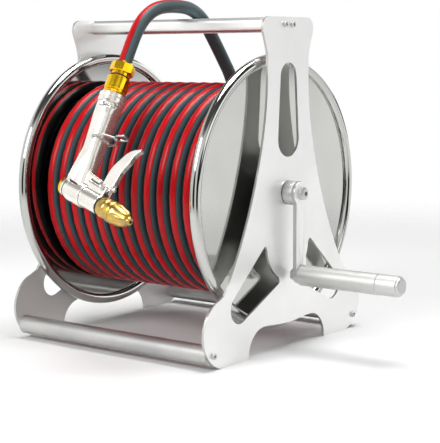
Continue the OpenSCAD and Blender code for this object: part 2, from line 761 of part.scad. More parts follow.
module gun_barrel() {
  color(nickel) barrel_frame() difference() {
    union() {
      bar_x(-gun_back_l, gun_front_l, barrel_r);
      bar_x(gun_front_l, gun_front_l + spigot_l, spigot_r);
      for (s = [-1, 1]) translate([0, s * (trigger_t / 2 + gap + ear_t / 2), 0]) {
        translate([pivot[0] - ear_r, -ear_t / 2, barrel_r - 3])
          cube([2 * ear_r, ear_t, pivot[1] - barrel_r + 3]);
        cross_bar(pivot[0], pivot[1], ear_r, -ear_t / 2, ear_t / 2);
      }
    }
    bar_x(-gun_back_l + rear_wall, spring_end, bore_r);
    bar_x(spring_end - 1, gun_front_l + spigot_l + 1, stem_r + guide_gap);
    cross_bar(pivot[0], pivot[1], pin_r, -2 * trigger_t, 2 * trigger_t);
    translate([finger_tip[0] - finger_w / 2 - 2, -finger_t / 2 - gap, 0])
      cube([pivot[0] + 4 - finger_tip[0] + finger_w / 2, finger_t + 2 * gap, barrel_r + 1]);
    cylinder(r = handle_way_r, h = barrel_r + 5);
  }
}
module gun_rear_cap() {
  r = barrel_r - 0.6;
  edge = 2.5;
  dome = 5;
  color(brass) barrel_frame() translate([-gun_back_l, 0, 0]) rotate([0, -90, 0]) rotate_extrude()
    polygon(concat([[0, 0], [r, 0], [r, edge]],
      [for (a = [10 : 10 : 80]) [r * cos(a), edge + dome * sin(a)]], [[0, edge + dome]]));
}
// The stem that the trigger pushes forward to open the water way
module valve_stem() {
  color(satin) barrel_frame() {
    bar_x(-gun_back_l + rear_wall + 2, gun_front_l + 2, stem_r);
    bar_x(stem_collar_at, stem_collar_at + stem_collar_t, stem_collar_r);
  }
}
module valve_spring() {
  color(satin) barrel_frame()
    ring_x(stem_collar_at + stem_collar_t, spring_end, spring_r, stem_r + guide_gap);
}
// Trigger: an S-shaped lever on a pin between the barrel's ears, with a finger that reaches the stem
trigger_line = [pivot, pivot + [-2, 20], pivot + [3, 36], pivot + [13.5, 57.5]];
trigger_root_w = 14.5;
trigger_tip_w = 5;
function trigger_w(t) = trigger_root_w + (trigger_tip_w - trigger_root_w) * pow(t, 4);
function trigger_side(s, n = 16) = [for (i = [0 : n]) let (t = i / n, d = unit(slope_at(trigger_line, t)))
  cubic_at(trigger_line, t) + s * trigger_w(t) / 2 * [-d[1], d[0]]];
module across_gun(thick) { translate([0, thick / 2, 0]) rotate([90, 0, 0]) linear_extrude(thick) children(); }
module trigger() {
  side = trigger_side(1);
  color(nickel) barrel_frame() difference() {
    union() {
      across_gun(trigger_t) {
        polygon(concat(trigger_side(-1), [for (i = [len(side) - 1 : -1 : 0]) side[i]]));
        translate(pivot) circle(ear_r);
        translate(cubic_at(trigger_line, 1)) circle(trigger_tip_w / 2);
      }
      across_gun(finger_t) polygon([finger_tip - [finger_w / 2, 0], finger_tip + [finger_w / 2, 0],
        pivot + [3.5, -1], pivot + [-3.5, 1]]);
    }
    cross_bar(pivot[0], pivot[1], pin_r + run_fit, -trigger_t, trigger_t);
  }
}
module trigger_pin() {
  half = trigger_t / 2 + gap + ear_t;
  color(satin) barrel_frame() {
    cross_bar(pivot[0], pivot[1], pin_r, -half, half);
    cross_bar(pivot[0], pivot[1], pin_r + 1.3, -half - 1.6, -half);
  }
}
// Wire loop that swings over the trigger to hold it squeezed: its legs pass the handle, then draw together
lock_leg = [[0, handle_r - 4, 0], [0, lock_half, 0], [lock_bend[0], lock_half, 0],
  [lock_bend[1], lock_tip_half, 0], [lock_reach, lock_tip_half, 0]];
lock_wire = concat(lock_leg, [for (i = [len(lock_leg) - 1 : -1 : 0]) let (q = lock_leg[i]) [q[0], -q[1], 0]]);
wire_sides = 10;
function beside(p, i) = cross(unit(p[i + 1] - p[i]), [0, 0, 1]);
function mitre(p, i) =
  let (a = beside(p, max(i - 1, 0)), b = beside(p, min(i, len(p) - 2))) (a + b) / (1 + a * b);
module trigger_lock() {
  color(satin) gun_frame() translate([lock_at[0], 0, -lock_at[1]]) rotate([0, -lock_lift, 0])
    swept(lock_wire, wire_sides, wire_d / 2, [for (q = lock_wire) [0, 0, 1]],
      [for (i = [0 : len(lock_wire) - 1]) mitre(lock_wire, i)]);
}
module nozzle_collar() {
  r = collar_d / 2;
  b = spigot_r + run_fit;
  color(brass) barrel_frame() translate([gun_front_l + gap, 0, 0]) spun_x() polygon([
    [b, 0], [r - 2, 0], [r - 2, collar_l * 0.12], [r - 1.2, collar_l * 0.12], [r - 0.6, collar_l * 0.55],
    [r - 1.2, collar_l * 0.6], [r - 0.3, collar_l * 0.66], [r, collar_l - 1], [r - 1, collar_l],
    [b, collar_l]]);
}
module nozzle_tip() {
  r = collar_d / 2 - 0.6;
  bore = 2;
  plug = spigot_r + run_fit;
  plug_l = collar_l - spigot_l - 2 * gap;
  color(brass) barrel_frame() translate([gun_front_l + gap + collar_l, 0, 0]) spun_x() polygon(concat(
    [[bore, -plug_l], [plug, -plug_l], [plug, 0], [r, 0]],
    cubic([[r, 2], [r, tip_l * 0.45], [r * 0.75, tip_l * 0.8], [r * 0.38, tip_l * 0.88]], 10),
    [[r * 0.38, tip_l - 1], [r * 0.3, tip_l], [bore, tip_l]]));
}

left_side_plate();
right_side_plate();
carry_bar();
carry_bar_blocks();
carry_bar_screws();
front_base_tube();
rear_base_tube();
base_tube_inserts();
base_tube_screws();
left_bush();
right_bush();
left_disc();
right_disc();
drum_barrel();
water_spindle();
crank_spindle();
tie_rods();
tie_rod_nuts();
outlet_elbow();
hose_core();
hose_winding();
crank_hub();
crank_arm();
crank_screw();
grip_bolt();
grip_nut();
swivel_clip();
crank_grip();
grip_cap();
inlet_elbow();
swivel_seals();
free_hose();
hose_nut();
coupling_body();
coupling_seal();
coupling_sleeve();
gun_inlet_collar();
gun_handle();
gun_barrel();
gun_rear_cap();
valve_stem();
valve_spring();
trigger();
trigger_pin();
trigger_lock();
nozzle_collar();
nozzle_tip();
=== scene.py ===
import logging
import math
from collections.abc import Callable, Iterable, Sequence
from dataclasses import dataclass, field
from enum import Enum

import bmesh
import bpy
from mathutils import Matrix, Vector


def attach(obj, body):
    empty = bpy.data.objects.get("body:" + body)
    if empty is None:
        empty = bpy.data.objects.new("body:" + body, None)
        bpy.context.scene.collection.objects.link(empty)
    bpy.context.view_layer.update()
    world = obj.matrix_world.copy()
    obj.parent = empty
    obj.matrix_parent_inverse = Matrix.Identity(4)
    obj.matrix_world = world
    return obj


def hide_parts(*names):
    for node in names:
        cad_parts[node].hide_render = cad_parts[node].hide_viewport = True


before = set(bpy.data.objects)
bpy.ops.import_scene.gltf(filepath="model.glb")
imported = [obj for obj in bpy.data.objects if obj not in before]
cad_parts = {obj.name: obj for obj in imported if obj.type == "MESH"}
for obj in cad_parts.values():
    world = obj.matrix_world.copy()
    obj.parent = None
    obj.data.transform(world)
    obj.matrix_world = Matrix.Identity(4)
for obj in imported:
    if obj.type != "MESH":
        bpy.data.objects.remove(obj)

LOG = logging.getLogger("hose_reel")
MM = 0.001
# The drum's middle lies this far beside the origin, and the axle this high, in millimetres
MID_X = -52.365
AXLE_Z = 183.0
# A grain stands this high in millimetres, times its finish's own strength
GRAIN_DEPTH = 0.1
# No metal is smoother than this
LEAST_ROUGHNESS = 0.02
# CAD corners nearer than this many millimetres are one, and edges that turn by more degrees are broken
WELD_GAP = 0.002
BROKEN_TURN = 40.0
# Sides of small balls and knobs, and of the black rings
BALL_SIDES = 24
RING_SIDES = 64

Pair = tuple[float, float]
Triple = tuple[float, float, float]
Colour = tuple[float, float, float, float]
Pairs = tuple[Pair, ...]


class Body(Enum):
    """The CAD bodies that pieces ride on."""

    FRAME = "frame"
    REEL = "reel"
    TRIGGER = "trigger_lever"
    LOCK = "lock"
    NOZZLE = "nozzle"


class Crease(Enum):
    """From how many degrees of turn an edge is drawn sharp."""

    NONE = 180.0
    SOFT = 60.0
    WIRE = 40.0
    TURNED = 35.0


def hex_linear(code: str) -> Colour:
    """Turn an sRGB hex colour into linear light.

    Args:
        code: the colour as "#rrggbb".

    Returns:
        Linear red, green and blue, and an alpha of one.
    """
    parts = [int(code[i:i + 2], 16) / 255 for i in (1, 3, 5)]
    light = [c / 12.92 if c <= 0.04045 else ((c + 0.055) / 1.055) ** 2.4 for c in parts]
    return light[0], light[1], light[2], 1.0


def add_node(tree: bpy.types.NodeTree, kind: str, settings: dict | None = None, links: dict | None = None,
             stops: Iterable[tuple[float, Colour]] = ()) -> bpy.types.Node:
    """Add a shader node with its settings and links.

    Args:
        tree: the material's node tree.
        kind: the node's type name.
        settings: values by input name, input number or property name.
        links: output sockets by input name or number.
        stops: places and colours of a colour ramp, two or more.

    Returns:
        The new node.
    """
    node = tree.nodes.new(kind)
    for key, value in (settings or {}).items():
        if isinstance(key, int) or key in node.inputs:
            node.inputs[key].default_value = value
        else:
            setattr(node, key, value)
    for key, socket in (links or {}).items():
        tree.links.new(socket, node.inputs[key])
    for i, (at, colour) in enumerate(stops):
        edges = node.color_ramp.elements
        edge = edges[i] if i < 2 else edges.new(at)
        edge.position, edge.color = at, colour
    return node


def per_metre(size_mm: float) -> float:
    """The noise scale whose features are about this many millimetres wide."""
    return 1.0 / (size_mm * MM)


@dataclass(frozen=True)
class Finish:
    """A real material and how its surface was made."""

    name: str
    colour: str
    roughness: float
    metallic: float = 0.0

    def shade(self, tree: bpy.types.NodeTree, surface: bpy.types.Node) -> None:
        """Add the finish's own pattern; the plain finish has none.

        Args:
            tree: the material's node tree.
            surface: its Principled node.
        """

    def material(self) -> bpy.types.Material:
        """Build the material on the first call.

        Returns:
            The material, the same one on every call.
        """
        made = bpy.data.materials.get(self.name)
        if made:
            return made
        made = bpy.data.materials.new(self.name)
        made.use_nodes = True
        tree = made.node_tree
        tree.nodes.clear()
        surface = add_node(tree, "ShaderNodeBsdfPrincipled", {
            "Base Color": hex_linear(self.colour), "Metallic": self.metallic, "Roughness": self.roughness})
        add_node(tree, "ShaderNodeOutputMaterial", links={"Surface": surface.outputs[0]})
        self.shade(tree, surface)
        return made


@dataclass(frozen=True)
class Metal(Finish):
    """A bare or plated metal with its tool's grain and slow clouds of tone, by their widths in millimetres."""

    metallic: float = 1.0
    grain: Triple = (0.8, 0.8, 0.8)
    grain_bump: float = 0.04
    spread: float = 0.05
    tone: str = "#c8c8c6"
    cloud: float = 45.0
    cloud_range: Pair = (0.35, 0.7)

    def shade(self, tree: bpy.types.NodeTree, surface: bpy.types.Node) -> None:
        """Add grain to the roughness and the surface, and clouds to the colour.

        Args:
            tree: the material's node tree.
            surface: its Principled node.
        """
        place = add_node(tree, "ShaderNodeTexCoord").outputs["Object"]
        scaled = add_node(tree, "ShaderNodeMapping", {"Scale": tuple(per_metre(g) for g in self.grain)},
                          {"Vector": place})
        grain = add_node(tree, "ShaderNodeTexNoise", {"Scale": 1.0, "Detail": 3.0},
                         {"Vector": scaled.outputs[0]})
        rough = add_node(tree, "ShaderNodeMapRange", {
            "To Min": max(self.roughness - self.spread, LEAST_ROUGHNESS),
            "To Max": self.roughness + self.spread}, {"Value": grain.outputs["Fac"]})
        tree.links.new(rough.outputs[0], surface.inputs["Roughness"])
        bump = add_node(tree, "ShaderNodeBump", {"Strength": self.grain_bump, "Distance": GRAIN_DEPTH * MM},
                        {"Height": grain.outputs["Fac"]})
        tree.links.new(bump.outputs[0], surface.inputs["Normal"])
        cloud = add_node(tree, "ShaderNodeTexNoise", {"Scale": per_metre(self.cloud), "Detail": 4.0},
                         {"Vector": place})
        fade = add_node(tree, "ShaderNodeMapRange", {
            "From Min": self.cloud_range[0], "From Max": self.cloud_range[1]},
            {"Value": cloud.outputs["Fac"]})
        tint = add_node(tree, "ShaderNodeMix", {
            "data_type": "RGBA", 6: hex_linear(self.colour), 7: hex_linear(self.tone)},
            {0: fade.outputs[0]})
        tree.links.new(tint.outputs[2], surface.inputs["Base Color"])

    def stain(self, tree: bpy.types.NodeTree, surface: bpy.types.Node, colour: str, clean: Pair,
              measure: bpy.types.NodeSocket) -> None:
        """Lay another colour over the metal wherever a measure is low.

        Args:
            tree: the material's node tree.
            surface: its Principled node.
            colour: the other colour.
            clean: the measures up to which the other colour is whole and from which the metal is clean.
            measure: the socket that gives the measure.
        """
        own = surface.inputs["Base Color"].links[0].from_socket
        share = add_node(tree, "ShaderNodeMapRange", {"From Min": clean[0], "From Max": clean[1]},
                         {"Value": measure})
        both = add_node(tree, "ShaderNodeMix", {"data_type": "RGBA", 6: hex_linear(colour)},
                        {0: share.outputs[0], 7: own})
        tree.links.new(both.outputs[2], surface.inputs["Base Color"])


@dataclass(frozen=True)
class CutSheet(Metal):
    """Sheet steel cut out by laser, with painted shade on its cut edges: they are drawn darker than its two
    faces.
    """

    # edge is the colour of the painted shade on the cut edges
    edge: str = "#c2c2c0"
    edge_shade_range: Pair = (0.35, 0.8)

    def shade(self, tree: bpy.types.NodeTree, surface: bpy.types.Node) -> None:
        """Add the metal's pattern and paint shade on every face that doesn't look along the axle.

        Args:
            tree: the material's node tree.
            surface: its Principled node.
        """
        super().shade(tree, surface)
        facing = add_node(tree, "ShaderNodeNewGeometry").outputs["Normal"]
        parts = add_node(tree, "ShaderNodeSeparateXYZ", links={0: facing})
        along = add_node(tree, "ShaderNodeMath", {"operation": "ABSOLUTE"}, {0: parts.outputs["X"]})
        # Painted shade: faces across the axle, which are the cut edges, take the darker edge colour
        self.stain(tree, surface, self.edge, self.edge_shade_range, along.outputs[0])


@dataclass(frozen=True)
class CastMetal(Metal):
    """A plated casting with painted shade: its hollows and inner corners are drawn dark."""

    # hollow is the dark colour of the painted shade in hollows and inner corners
    hollow: str = "#2e2d28"
    painted_shade_range: Pair = (0.47, 0.497)

    def shade(self, tree: bpy.types.NodeTree, surface: bpy.types.Node) -> None:
        """Add the metal's pattern and paint shade into what is hollow.

        Args:
            tree: the material's node tree.
            surface: its Principled node.
        """
        super().shade(tree, surface)
        bend = add_node(tree, "ShaderNodeNewGeometry").outputs["Pointiness"]
        # Painted shade: the more hollow the surface, the more of the dark colour
        self.stain(tree, surface, self.hollow, self.painted_shade_range, bend)


@dataclass(frozen=True)
class Polymer(Finish):
    """Moulded plastic, rubber or paint with a fine grain."""

    grain: float = 0.5
    grain_bump: float = 0.15
    tone: str = "#202020"

    def shade(self, tree: bpy.types.NodeTree, surface: bpy.types.Node) -> None:
        """Add the mould's grain and a slight change of tone.

        Args:
            tree: the material's node tree.
            surface: its Principled node.
        """
        place = add_node(tree, "ShaderNodeTexCoord").outputs["Object"]
        grain = add_node(tree, "ShaderNodeTexNoise", {"Scale": per_metre(self.grain), "Detail": 2.0},
                         {"Vector": place})
        bump = add_node(tree, "ShaderNodeBump", {"Strength": self.grain_bump, "Distance": GRAIN_DEPTH * MM},
                        {"Height": grain.outputs["Fac"]})
        tree.links.new(bump.outputs[0], surface.inputs["Normal"])
        tint = add_node(tree, "ShaderNodeMix", {
            "data_type": "RGBA", 6: hex_linear(self.colour), 7: hex_linear(self.tone)},
            {0: grain.outputs["Fac"]})
        tree.links.new(tint.outputs[2], surface.inputs["Base Color"])


@dataclass(frozen=True)
class FadingFloor(Polymer):
    """A painted floor that fades out into the white room, between two distances in metres."""

    fade: Pair = (0.65, 1.6)

    def shade(self, tree: bpy.types.NodeTree, surface: bpy.types.Node) -> None:
        """Add the paint's grain and let the floor end softly.

        Args:
            tree: the material's node tree.
            surface: its Principled node.
        """
        super().shade(tree, surface)
        target = surface.outputs[0].links[0].to_socket
        place = add_node(tree, "ShaderNodeTexCoord").outputs["Object"]
        reach = add_node(tree, "ShaderNodeVectorMath", {"operation": "LENGTH"}, {0: place})
        share = add_node(tree, "ShaderNodeMapRange", {
            "interpolation_type": "SMOOTHSTEP", "From Min": self.fade[0], "From Max": self.fade[1]},
            {"Value": reach.outputs["Value"]})
        clear = add_node(tree, "ShaderNodeBsdfTransparent")
        both = add_node(tree, "ShaderNodeMixShader", links={
            0: share.outputs[0], 1: surface.outputs[0], 2: clear.outputs[0]})
        tree.links.new(both.outputs[0], target)


@dataclass(frozen=True)
class StripedHose(Finish):
    """Extruded soft vinyl, red and blue-grey round its girth, with charcoal painted shade underneath, where
    the turns meet each other and the drum.
    """

    second: str = "#47595e"
    # under is the charcoal colour, painted shade for the side of each turn that faces its neighbours and the
    # drum; it also draws the thin line at the first seam
    under: str = "#101415"
    seams: Triple = (0.108, 0.29, 0.95)
    seam_soft: float = 0.01
    line: float = 0.005
    gloss: float = 0.2
    dust: str = "#5c4c4a"
    dust_share: float = 0.1
    rub_length: float = 35.0
    rub_range: Pair = (0.45, 0.8)
    rub_rough: Pair = (-0.06, 0.1)
    die_lines: float = 60.0
    die_bump: float = 0.08

    def shade(self, tree: bpy.types.NodeTree, surface: bpy.types.Node) -> None:
        """Split the girth into its colours and its charcoal painted shade, then add rubbed patches and die
        lines.

        Args:
            tree: the material's node tree.
            surface: its Principled node.
        """
        surface.inputs["Specular IOR Level"].default_value = self.gloss
        girth = add_node(tree, "ShaderNodeUVMap", {"uv_map": "girth"})
        split = add_node(tree, "ShaderNodeSeparateXYZ", links={0: girth.outputs[0]})
        red, grey, dark = (hex_linear(c) for c in (self.colour, self.second, self.under))
        soft, (first, second, third) = self.seam_soft / 2, self.seams
        # Red, a thin dark line, then grey; from the second seam to the third the girth is charcoal painted
        # shade
        ramp = add_node(tree, "ShaderNodeValToRGB", links={0: split.outputs["X"]}, stops=(
            (first - soft - self.line, red), (first, dark), (first + soft + self.line, grey),
            (second - soft, grey), (second + soft, dark), (third - soft, dark), (third + soft, red)))
        place = add_node(tree, "ShaderNodeTexCoord").outputs["Object"]
        rub = add_node(tree, "ShaderNodeTexNoise", {"Scale": per_metre(self.rub_length), "Detail": 5.0},
                       {"Vector": place})
        worn = add_node(tree, "ShaderNodeMapRange", {
            "From Min": self.rub_range[0], "From Max": self.rub_range[1], "To Max": self.dust_share},
            {"Value": rub.outputs["Fac"]})
        tint = add_node(tree, "ShaderNodeMix", {"data_type": "RGBA", 7: hex_linear(self.dust)},
                        {0: worn.outputs[0], 6: ramp.outputs[0]})
        tree.links.new(tint.outputs[2], surface.inputs["Base Color"])
        rough = add_node(tree, "ShaderNodeMapRange", {
            "To Min": self.roughness + self.rub_rough[0], "To Max": self.roughness + self.rub_rough[1]},
            {"Value": rub.outputs["Fac"]})
        tree.links.new(rough.outputs[0], surface.inputs["Roughness"])
        # Die lines run the hose's length: 60 ridges round its 50 mm, coarser than real so that they show
        lines = add_node(tree, "ShaderNodeMapping", {"Scale": (self.die_lines, 1.0, 1.0)},
                         {"Vector": girth.outputs[0]})
        ridge = add_node(tree, "ShaderNodeTexNoise", {"Scale": 1.0, "Detail": 2.0},
                         {"Vector": lines.outputs[0]})
        bump = add_node(tree, "ShaderNodeBump", {"Strength": self.die_bump, "Distance": GRAIN_DEPTH * MM},
                        {"Height": ridge.outputs["Fac"]})
        tree.links.new(bump.outputs[0], surface.inputs["Normal"])


# Laser-cut stainless sheet, glass-bead blasted: pale, even and soft in its reflections, with painted shade on
# its cut edges
SATIN_SHEET = CutSheet("satin_stainless_sheet", "#f6f6f5", 0.4, grain=(0.9, 0.9, 0.9), tone="#efefee",
                       cloud=80.0)
# Stainless sheet buffed to a mirror: faint lines of the mop, almost sharp reflections
MIRROR_SHEET = Metal("mirror_stainless_sheet", "#c3c3c0", 0.07, grain=(3.0, 1.2, 1.2), grain_bump=0.01,
                     spread=0.02, tone="#bbbbb8", cloud=90.0)
# Welded stainless tube, satin belt-ground along its length: streaks that follow the tube; its grey is drawn
# darker than the carry bar's copy, painted shade low on the frame
GROUND_TUBE = Metal("ground_stainless_tube", "#c6c6c4", 0.42, grain=(24.0, 0.8, 0.8), grain_bump=0.05,
                    tone="#bababa")
# The carry bar is ground finer, and its copy of the tube is painted lighter: painted light for the top of the
# frame
BRIGHT_TUBE = Metal("finer_stainless_tube_painted_light", "#f6f6f4", 0.36, grain=(24.0, 0.8, 0.8), tone="#ededeb")
# Zinc-plated turned steel: fine lathe lines, slightly warm grey
ZINC_STEEL = Metal("zinc_plated_steel", "#c2c2c0", 0.3, grain=(0.5, 4.0, 4.0), tone="#a8a8a6")
# Turned aluminium of grip, hub, blocks and screws, bead blasted: even mid grey
SATIN_ALUMINIUM = Metal("blasted_aluminium", "#cfcfcd", 0.5, grain=(0.7, 0.7, 0.7), tone="#c6c6c4")
# Turned and polished brass: yellow with a little tarnish in clouds
BRASS = Metal("polished_brass", "#ffd428", 0.18, grain=(2.0, 0.6, 0.6), grain_bump=0.03, spread=0.04,
              tone="#eebb20", cloud=14.0)
# Brass of the nozzle, left bare and handled: duller and browner than the coupling's
WORN_BRASS = Metal("handled_brass", "#e2bd52", 0.3, grain=(2.0, 0.6, 0.6), grain_bump=0.03,
                   tone="#a8916f", cloud=9.0)
# Die-cast zinc under bright nickel: warm white, soft reflections over a cast skin
PLATING = {"colour": "#f6f3ec", "roughness": 0.25, "metallic": 0.82, "grain": (1.6, 1.6, 1.6),
           "grain_bump": 0.004, "spread": 0.012, "tone": "#ece8de", "cloud": 20.0}
NICKEL = Metal("nickel_plated_casting", **PLATING)
# The same plating on the gun and the trigger, with painted shade in their hollows and inner corners
CAST_NICKEL = CastMetal("nickel_casting_painted_shade", **PLATING)
# Acetal bushes: black, waxy
ACETAL = Polymer("black_acetal", "#141414", 0.45)
# Nitrile ring seals: black rubber, dull
NITRILE = Polymer("black_nitrile", "#0c0c0c", 0.6, grain=0.3)
# Soft vinyl hose, extruded red and blue-grey, with a wide charcoal band of painted shade: smooth, with long
# soft highlights
VINYL_HOSE = StripedHose("striped_vinyl_hose_painted_shade", "#bc0a14", 0.28)
# The same hose off the drum, in a lighter grey and with only a narrow charcoal band of painted shade
FREE_HOSE = StripedHose("free_vinyl_hose", "#b80b15", 0.32, second="#55666a", seams=(0.092, 0.8, 0.835))
# Painted studio floor: even and matt
FLOOR_PAINT = FadingFloor("pale_floor_paint", "#f4f4f4", 0.75, grain=2.0, grain_bump=0.02, tone="#efefef")


@dataclass
class Shape:
    """Points, faces and face corners' girth places of a mesh, in millimetres."""

    points: list[Vector] = field(default_factory=list)
    faces: list[tuple[int, ...]] = field(default_factory=list)
    girth: list[Pair] = field(default_factory=list)

    def bridge(self, first: int, second: int, sides: int, way: int = 1, marks: Pair | None = None) -> None:
        """Join two rings of points by faces.

        Args:
            first: number of the first ring's first point.
            second: number of the second ring's first point.
            sides: points in each ring.
            way: 1, or -1 to turn the faces over.
            marks: the rings' places along a hose, if the girth is counted.
        """
        for k in range(sides):
            n = (k + 1) % sides
            self.faces.append((first + k, first + n, second + n, second + k)[::way])
            if marks:
                low, high = k / sides, (k + 1) / sides
                self.girth += [(low, marks[0]), (high, marks[0]), (high, marks[1]), (low, marks[1])][::way]

    def join(self, other: "Shape") -> "Shape":
        """Add another shape's points and faces.

        Args:
            other: the shape to add.

        Returns:
            This shape.
        """
        start = len(self.points)
        self.points += other.points
        self.faces += [tuple(start + i for i in f) for f in other.faces]
        return self

    def moved(self, place: Matrix) -> "Shape":
        """Return a copy moved by a matrix."""
        return Shape([place @ p for p in self.points], list(self.faces), list(self.girth))


def lathe(profile: Sequence[Pair], sides: int, wave: Callable[[float, float], float] | None = None,
          hollow: bool = False) -> Shape:
    """Turn a profile about the local X axis.

    Args:
        profile: radius and place along the axis of each point, from one end to the other.
        sides: number of sides round the axis.
        wave: a factor on the radius from the angle and the place along the axis.
        hollow: whether the profile's end is joined to its start, as in a ring.

    Returns:
        The turned shape, closed at both ends or into a ring.
    """
    shape = Shape()
    for radius, along in profile:
        for k in range(sides):
            a = 2 * math.pi * k / sides
            r = radius * (wave(a, along) if wave else 1.0)
            shape.points.append(Vector((along, r * math.cos(a), r * math.sin(a))))
    count = len(profile)
    for i in range(count if hollow else count - 1):
        shape.bridge(i * sides, (i + 1) % count * sides, sides)
    if not hollow:
        shape.faces.append(tuple(reversed(range(sides))))
        shape.faces.append(tuple((count - 1) * sides + k for k in range(sides)))
    return shape


def tube(line: Sequence[Vector], outs: Sequence[Vector], radius: float, sides: int,
         bore: float = 0.0) -> Shape:
    """Sweep a round tube along a line.

    Args:
        line: the middle of each ring.
        outs: a direction at each ring from which the girth is counted, towards +X.
        radius: outer radius.
        sides: number of sides.
        bore: radius of the dimple that shows the hose's bore at both ends, or zero for plain ends.

    Returns:
        The tube, with its girth places.
    """
    shape = Shape()
    count = len(line)
    total, hand = 0.0, 0.0
    marks = []
    for i, middle in enumerate(line):
        ahead = (line[min(i + 1, count - 1)] - line[max(i - 1, 0)]).normalized()
        out = (outs[i] - outs[i].dot(ahead) * ahead).normalized()
        side = ahead.cross(out)
        hand = hand or (-1.0 if side.x < 0 else 1.0)
        side *= hand
        total += (middle - line[i - 1]).length if i else 0.0
        marks.append(total * MM)
        for k in range(sides):
            a = 2 * math.pi * k / sides
            shape.points.append(middle + radius * (math.cos(a) * out + math.sin(a) * side))
    way = 1
    for i in range(count - 1):
        first, second = (shape.points[i * sides + k] - line[i] for k in (0, 1))
        way = 1 if (line[i + 1] - line[i]).dot(first.cross(second)) > 0 else -1
        shape.bridge(i * sides, (i + 1) * sides, sides, way, (marks[i], marks[i + 1]))
    for i, inward in ((0, 1), (count - 1, -1)):
        rings = [i * sides]
        deep = (line[i + inward] - line[i]).normalized() * radius
        rim = [p - line[i] for p in shape.points[i * sides:(i + 1) * sides]]
        for depth in (0.0, 1.0) if bore else ():
            rings.append(len(shape.points))
            shape.points += [line[i] + p * (bore / radius) + deep * depth for p in rim]
        turn = -way * inward
        for near, far in zip(rings, rings[1:]):
            shape.bridge(near, far, sides, turn, (0.0, 0.0))
        shape.faces.append(tuple(rings[-1] + k for k in range(sides))[::turn])
        shape.girth += [(k / sides, 0.0) for k in range(sides)][::turn]
    return shape


def ease(t: float) -> float:
    """A share from 0 to 1 that starts and ends gently."""
    return t * t * (3 - 2 * t)


def smooth_line(points: Sequence[Vector], steps: int) -> list[Vector]:
    """Lead a smooth curve through points, as the part's source does.

    Args:
        points: the points that the curve passes.
        steps: stretches between two neighbouring points.

    Returns:
        The curve's points.
    """
    last = len(points) - 1
    line = []
    for i in range(last):
        a, b = points[max(i - 1, 0)], points[i]
        c, d = points[i + 1], points[min(i + 2, last)]
        for k in range(steps):
            t = k / steps
            line.append(0.5 * (2 * b + (c - a) * t + (2 * a - 5 * b + 4 * c - d) * t * t
                               + (3 * b - a - 3 * c + d) * t ** 3))
    return line + [points[last]]


def rounded_line(corners: Sequence[Vector], radius: float, steps: int) -> list[Vector]:
    """Lead a line through corners and round each of them.

    Args:
        corners: the line's corner points.
        radius: length of straight line that a round takes from each side of a corner.
        steps: stretches in each round.

    Returns:
        The line's points.
    """
    line = [corners[0]]
    for before, corner, after in zip(corners, corners[1:], corners[2:]):
        start = corner + (before - corner).normalized() * radius
        end = corner + (after - corner).normalized() * radius
        for i in range(steps + 1):
            t = i / steps
            line.append(start * (1 - t) ** 2 + corner * 2 * t * (1 - t) + end * t * t)
    return line + [corners[-1]]


def line_length(line: Sequence[Vector]) -> float:
    """The length of a line in metres, from points in millimetres."""
    return sum((b - a).length for a, b in zip(line, line[1:])) * MM


def to_mesh(name: str, shape: Shape, crease: Crease) -> bpy.types.Mesh:
    """Make a Blender mesh in metres.

    Args:
        name: the mesh's name.
        shape: its points and faces.
        crease: which edges are drawn sharp.

    Returns:
        The mesh, with its normals facing out.
    """
    mesh = bpy.data.meshes.new(name)
    mesh.from_pydata([p * MM for p in shape.points], [], shape.faces)
    if shape.girth:
        layer = mesh.uv_layers.new(name="girth")
        for corner, place in zip(layer.data, shape.girth):
            corner.uv = place
    mesh.polygons.foreach_set("use_smooth", [True] * len(mesh.polygons))
    mesh.set_sharp_from_angle(angle=math.radians(crease.value))
    mesh.validate()
    return mesh


def prism(outline: Sequence[Pair], thick: float) -> Shape:
    """Make a plate across the Y axis from an outline in X and Z.

    Args:
        outline: the corner points.
        thick: the plate's thickness.

    Returns:
        The plate's points and faces.
    """
    count = len(outline)
    shape = Shape()
    for y in (-thick / 2, thick / 2):
        shape.points += [Vector((x, y, z)) for x, z in outline]
    shape.faces = [tuple(range(count)), tuple(range(2 * count - 1, count - 1, -1))]
    for i in range(count):
        n = (i + 1) % count
        shape.faces.append((n, i, count + i, count + n))
    return shape


def new_object(name: str, data: bpy.types.ID) -> bpy.types.Object:
    """Make an object and put it in the scene.

    Args:
        name: the object's name.
        data: its mesh, light or camera.

    Returns:
        The new object.
    """
    made = bpy.data.objects.new(name, data)
    bpy.context.scene.collection.objects.link(made)
    return made


def cast_copy(name: str, nodes: Sequence[str], forms: Sequence[Shape], grid: float,
              passes: int) -> bpy.types.Mesh:
    """Join CAD nodes and further forms into one mesh, with joins and edges rounded as a casting's are.

    Args:
        name: the new mesh's name.
        nodes: the CAD nodes that make up the casting.
        forms: further forms that blend into it, in place.
        grid: size of the new mesh's faces in millimetres.
        passes: rounds of smoothing.

    Returns:
        The rounded mesh, in place.
    """
    joined = bmesh.new()
    for node in nodes:
        joined.from_mesh(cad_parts[node].data)
    for form in forms:
        joined.from_mesh(to_mesh(name + "_form", form, Crease.NONE))
    rough = bpy.data.meshes.new(name + "_rough")
    joined.to_mesh(rough)
    joined.free()
    mould = new_object(name + "_mould", rough)
    skin = mould.modifiers.new("skin", "REMESH")
    skin.mode, skin.voxel_size = "VOXEL", grid * MM
    even = mould.modifiers.new("even", "SMOOTH")
    even.factor, even.iterations = 0.5, passes
    graph = bpy.context.evaluated_depsgraph_get()
    mesh = bpy.data.meshes.new_from_object(mould.evaluated_get(graph))
    bpy.data.objects.remove(mould)
    mesh.name = name
    mesh.materials.clear()
    mesh.polygons.foreach_set("use_smooth", [True] * len(mesh.polygons))
    return mesh


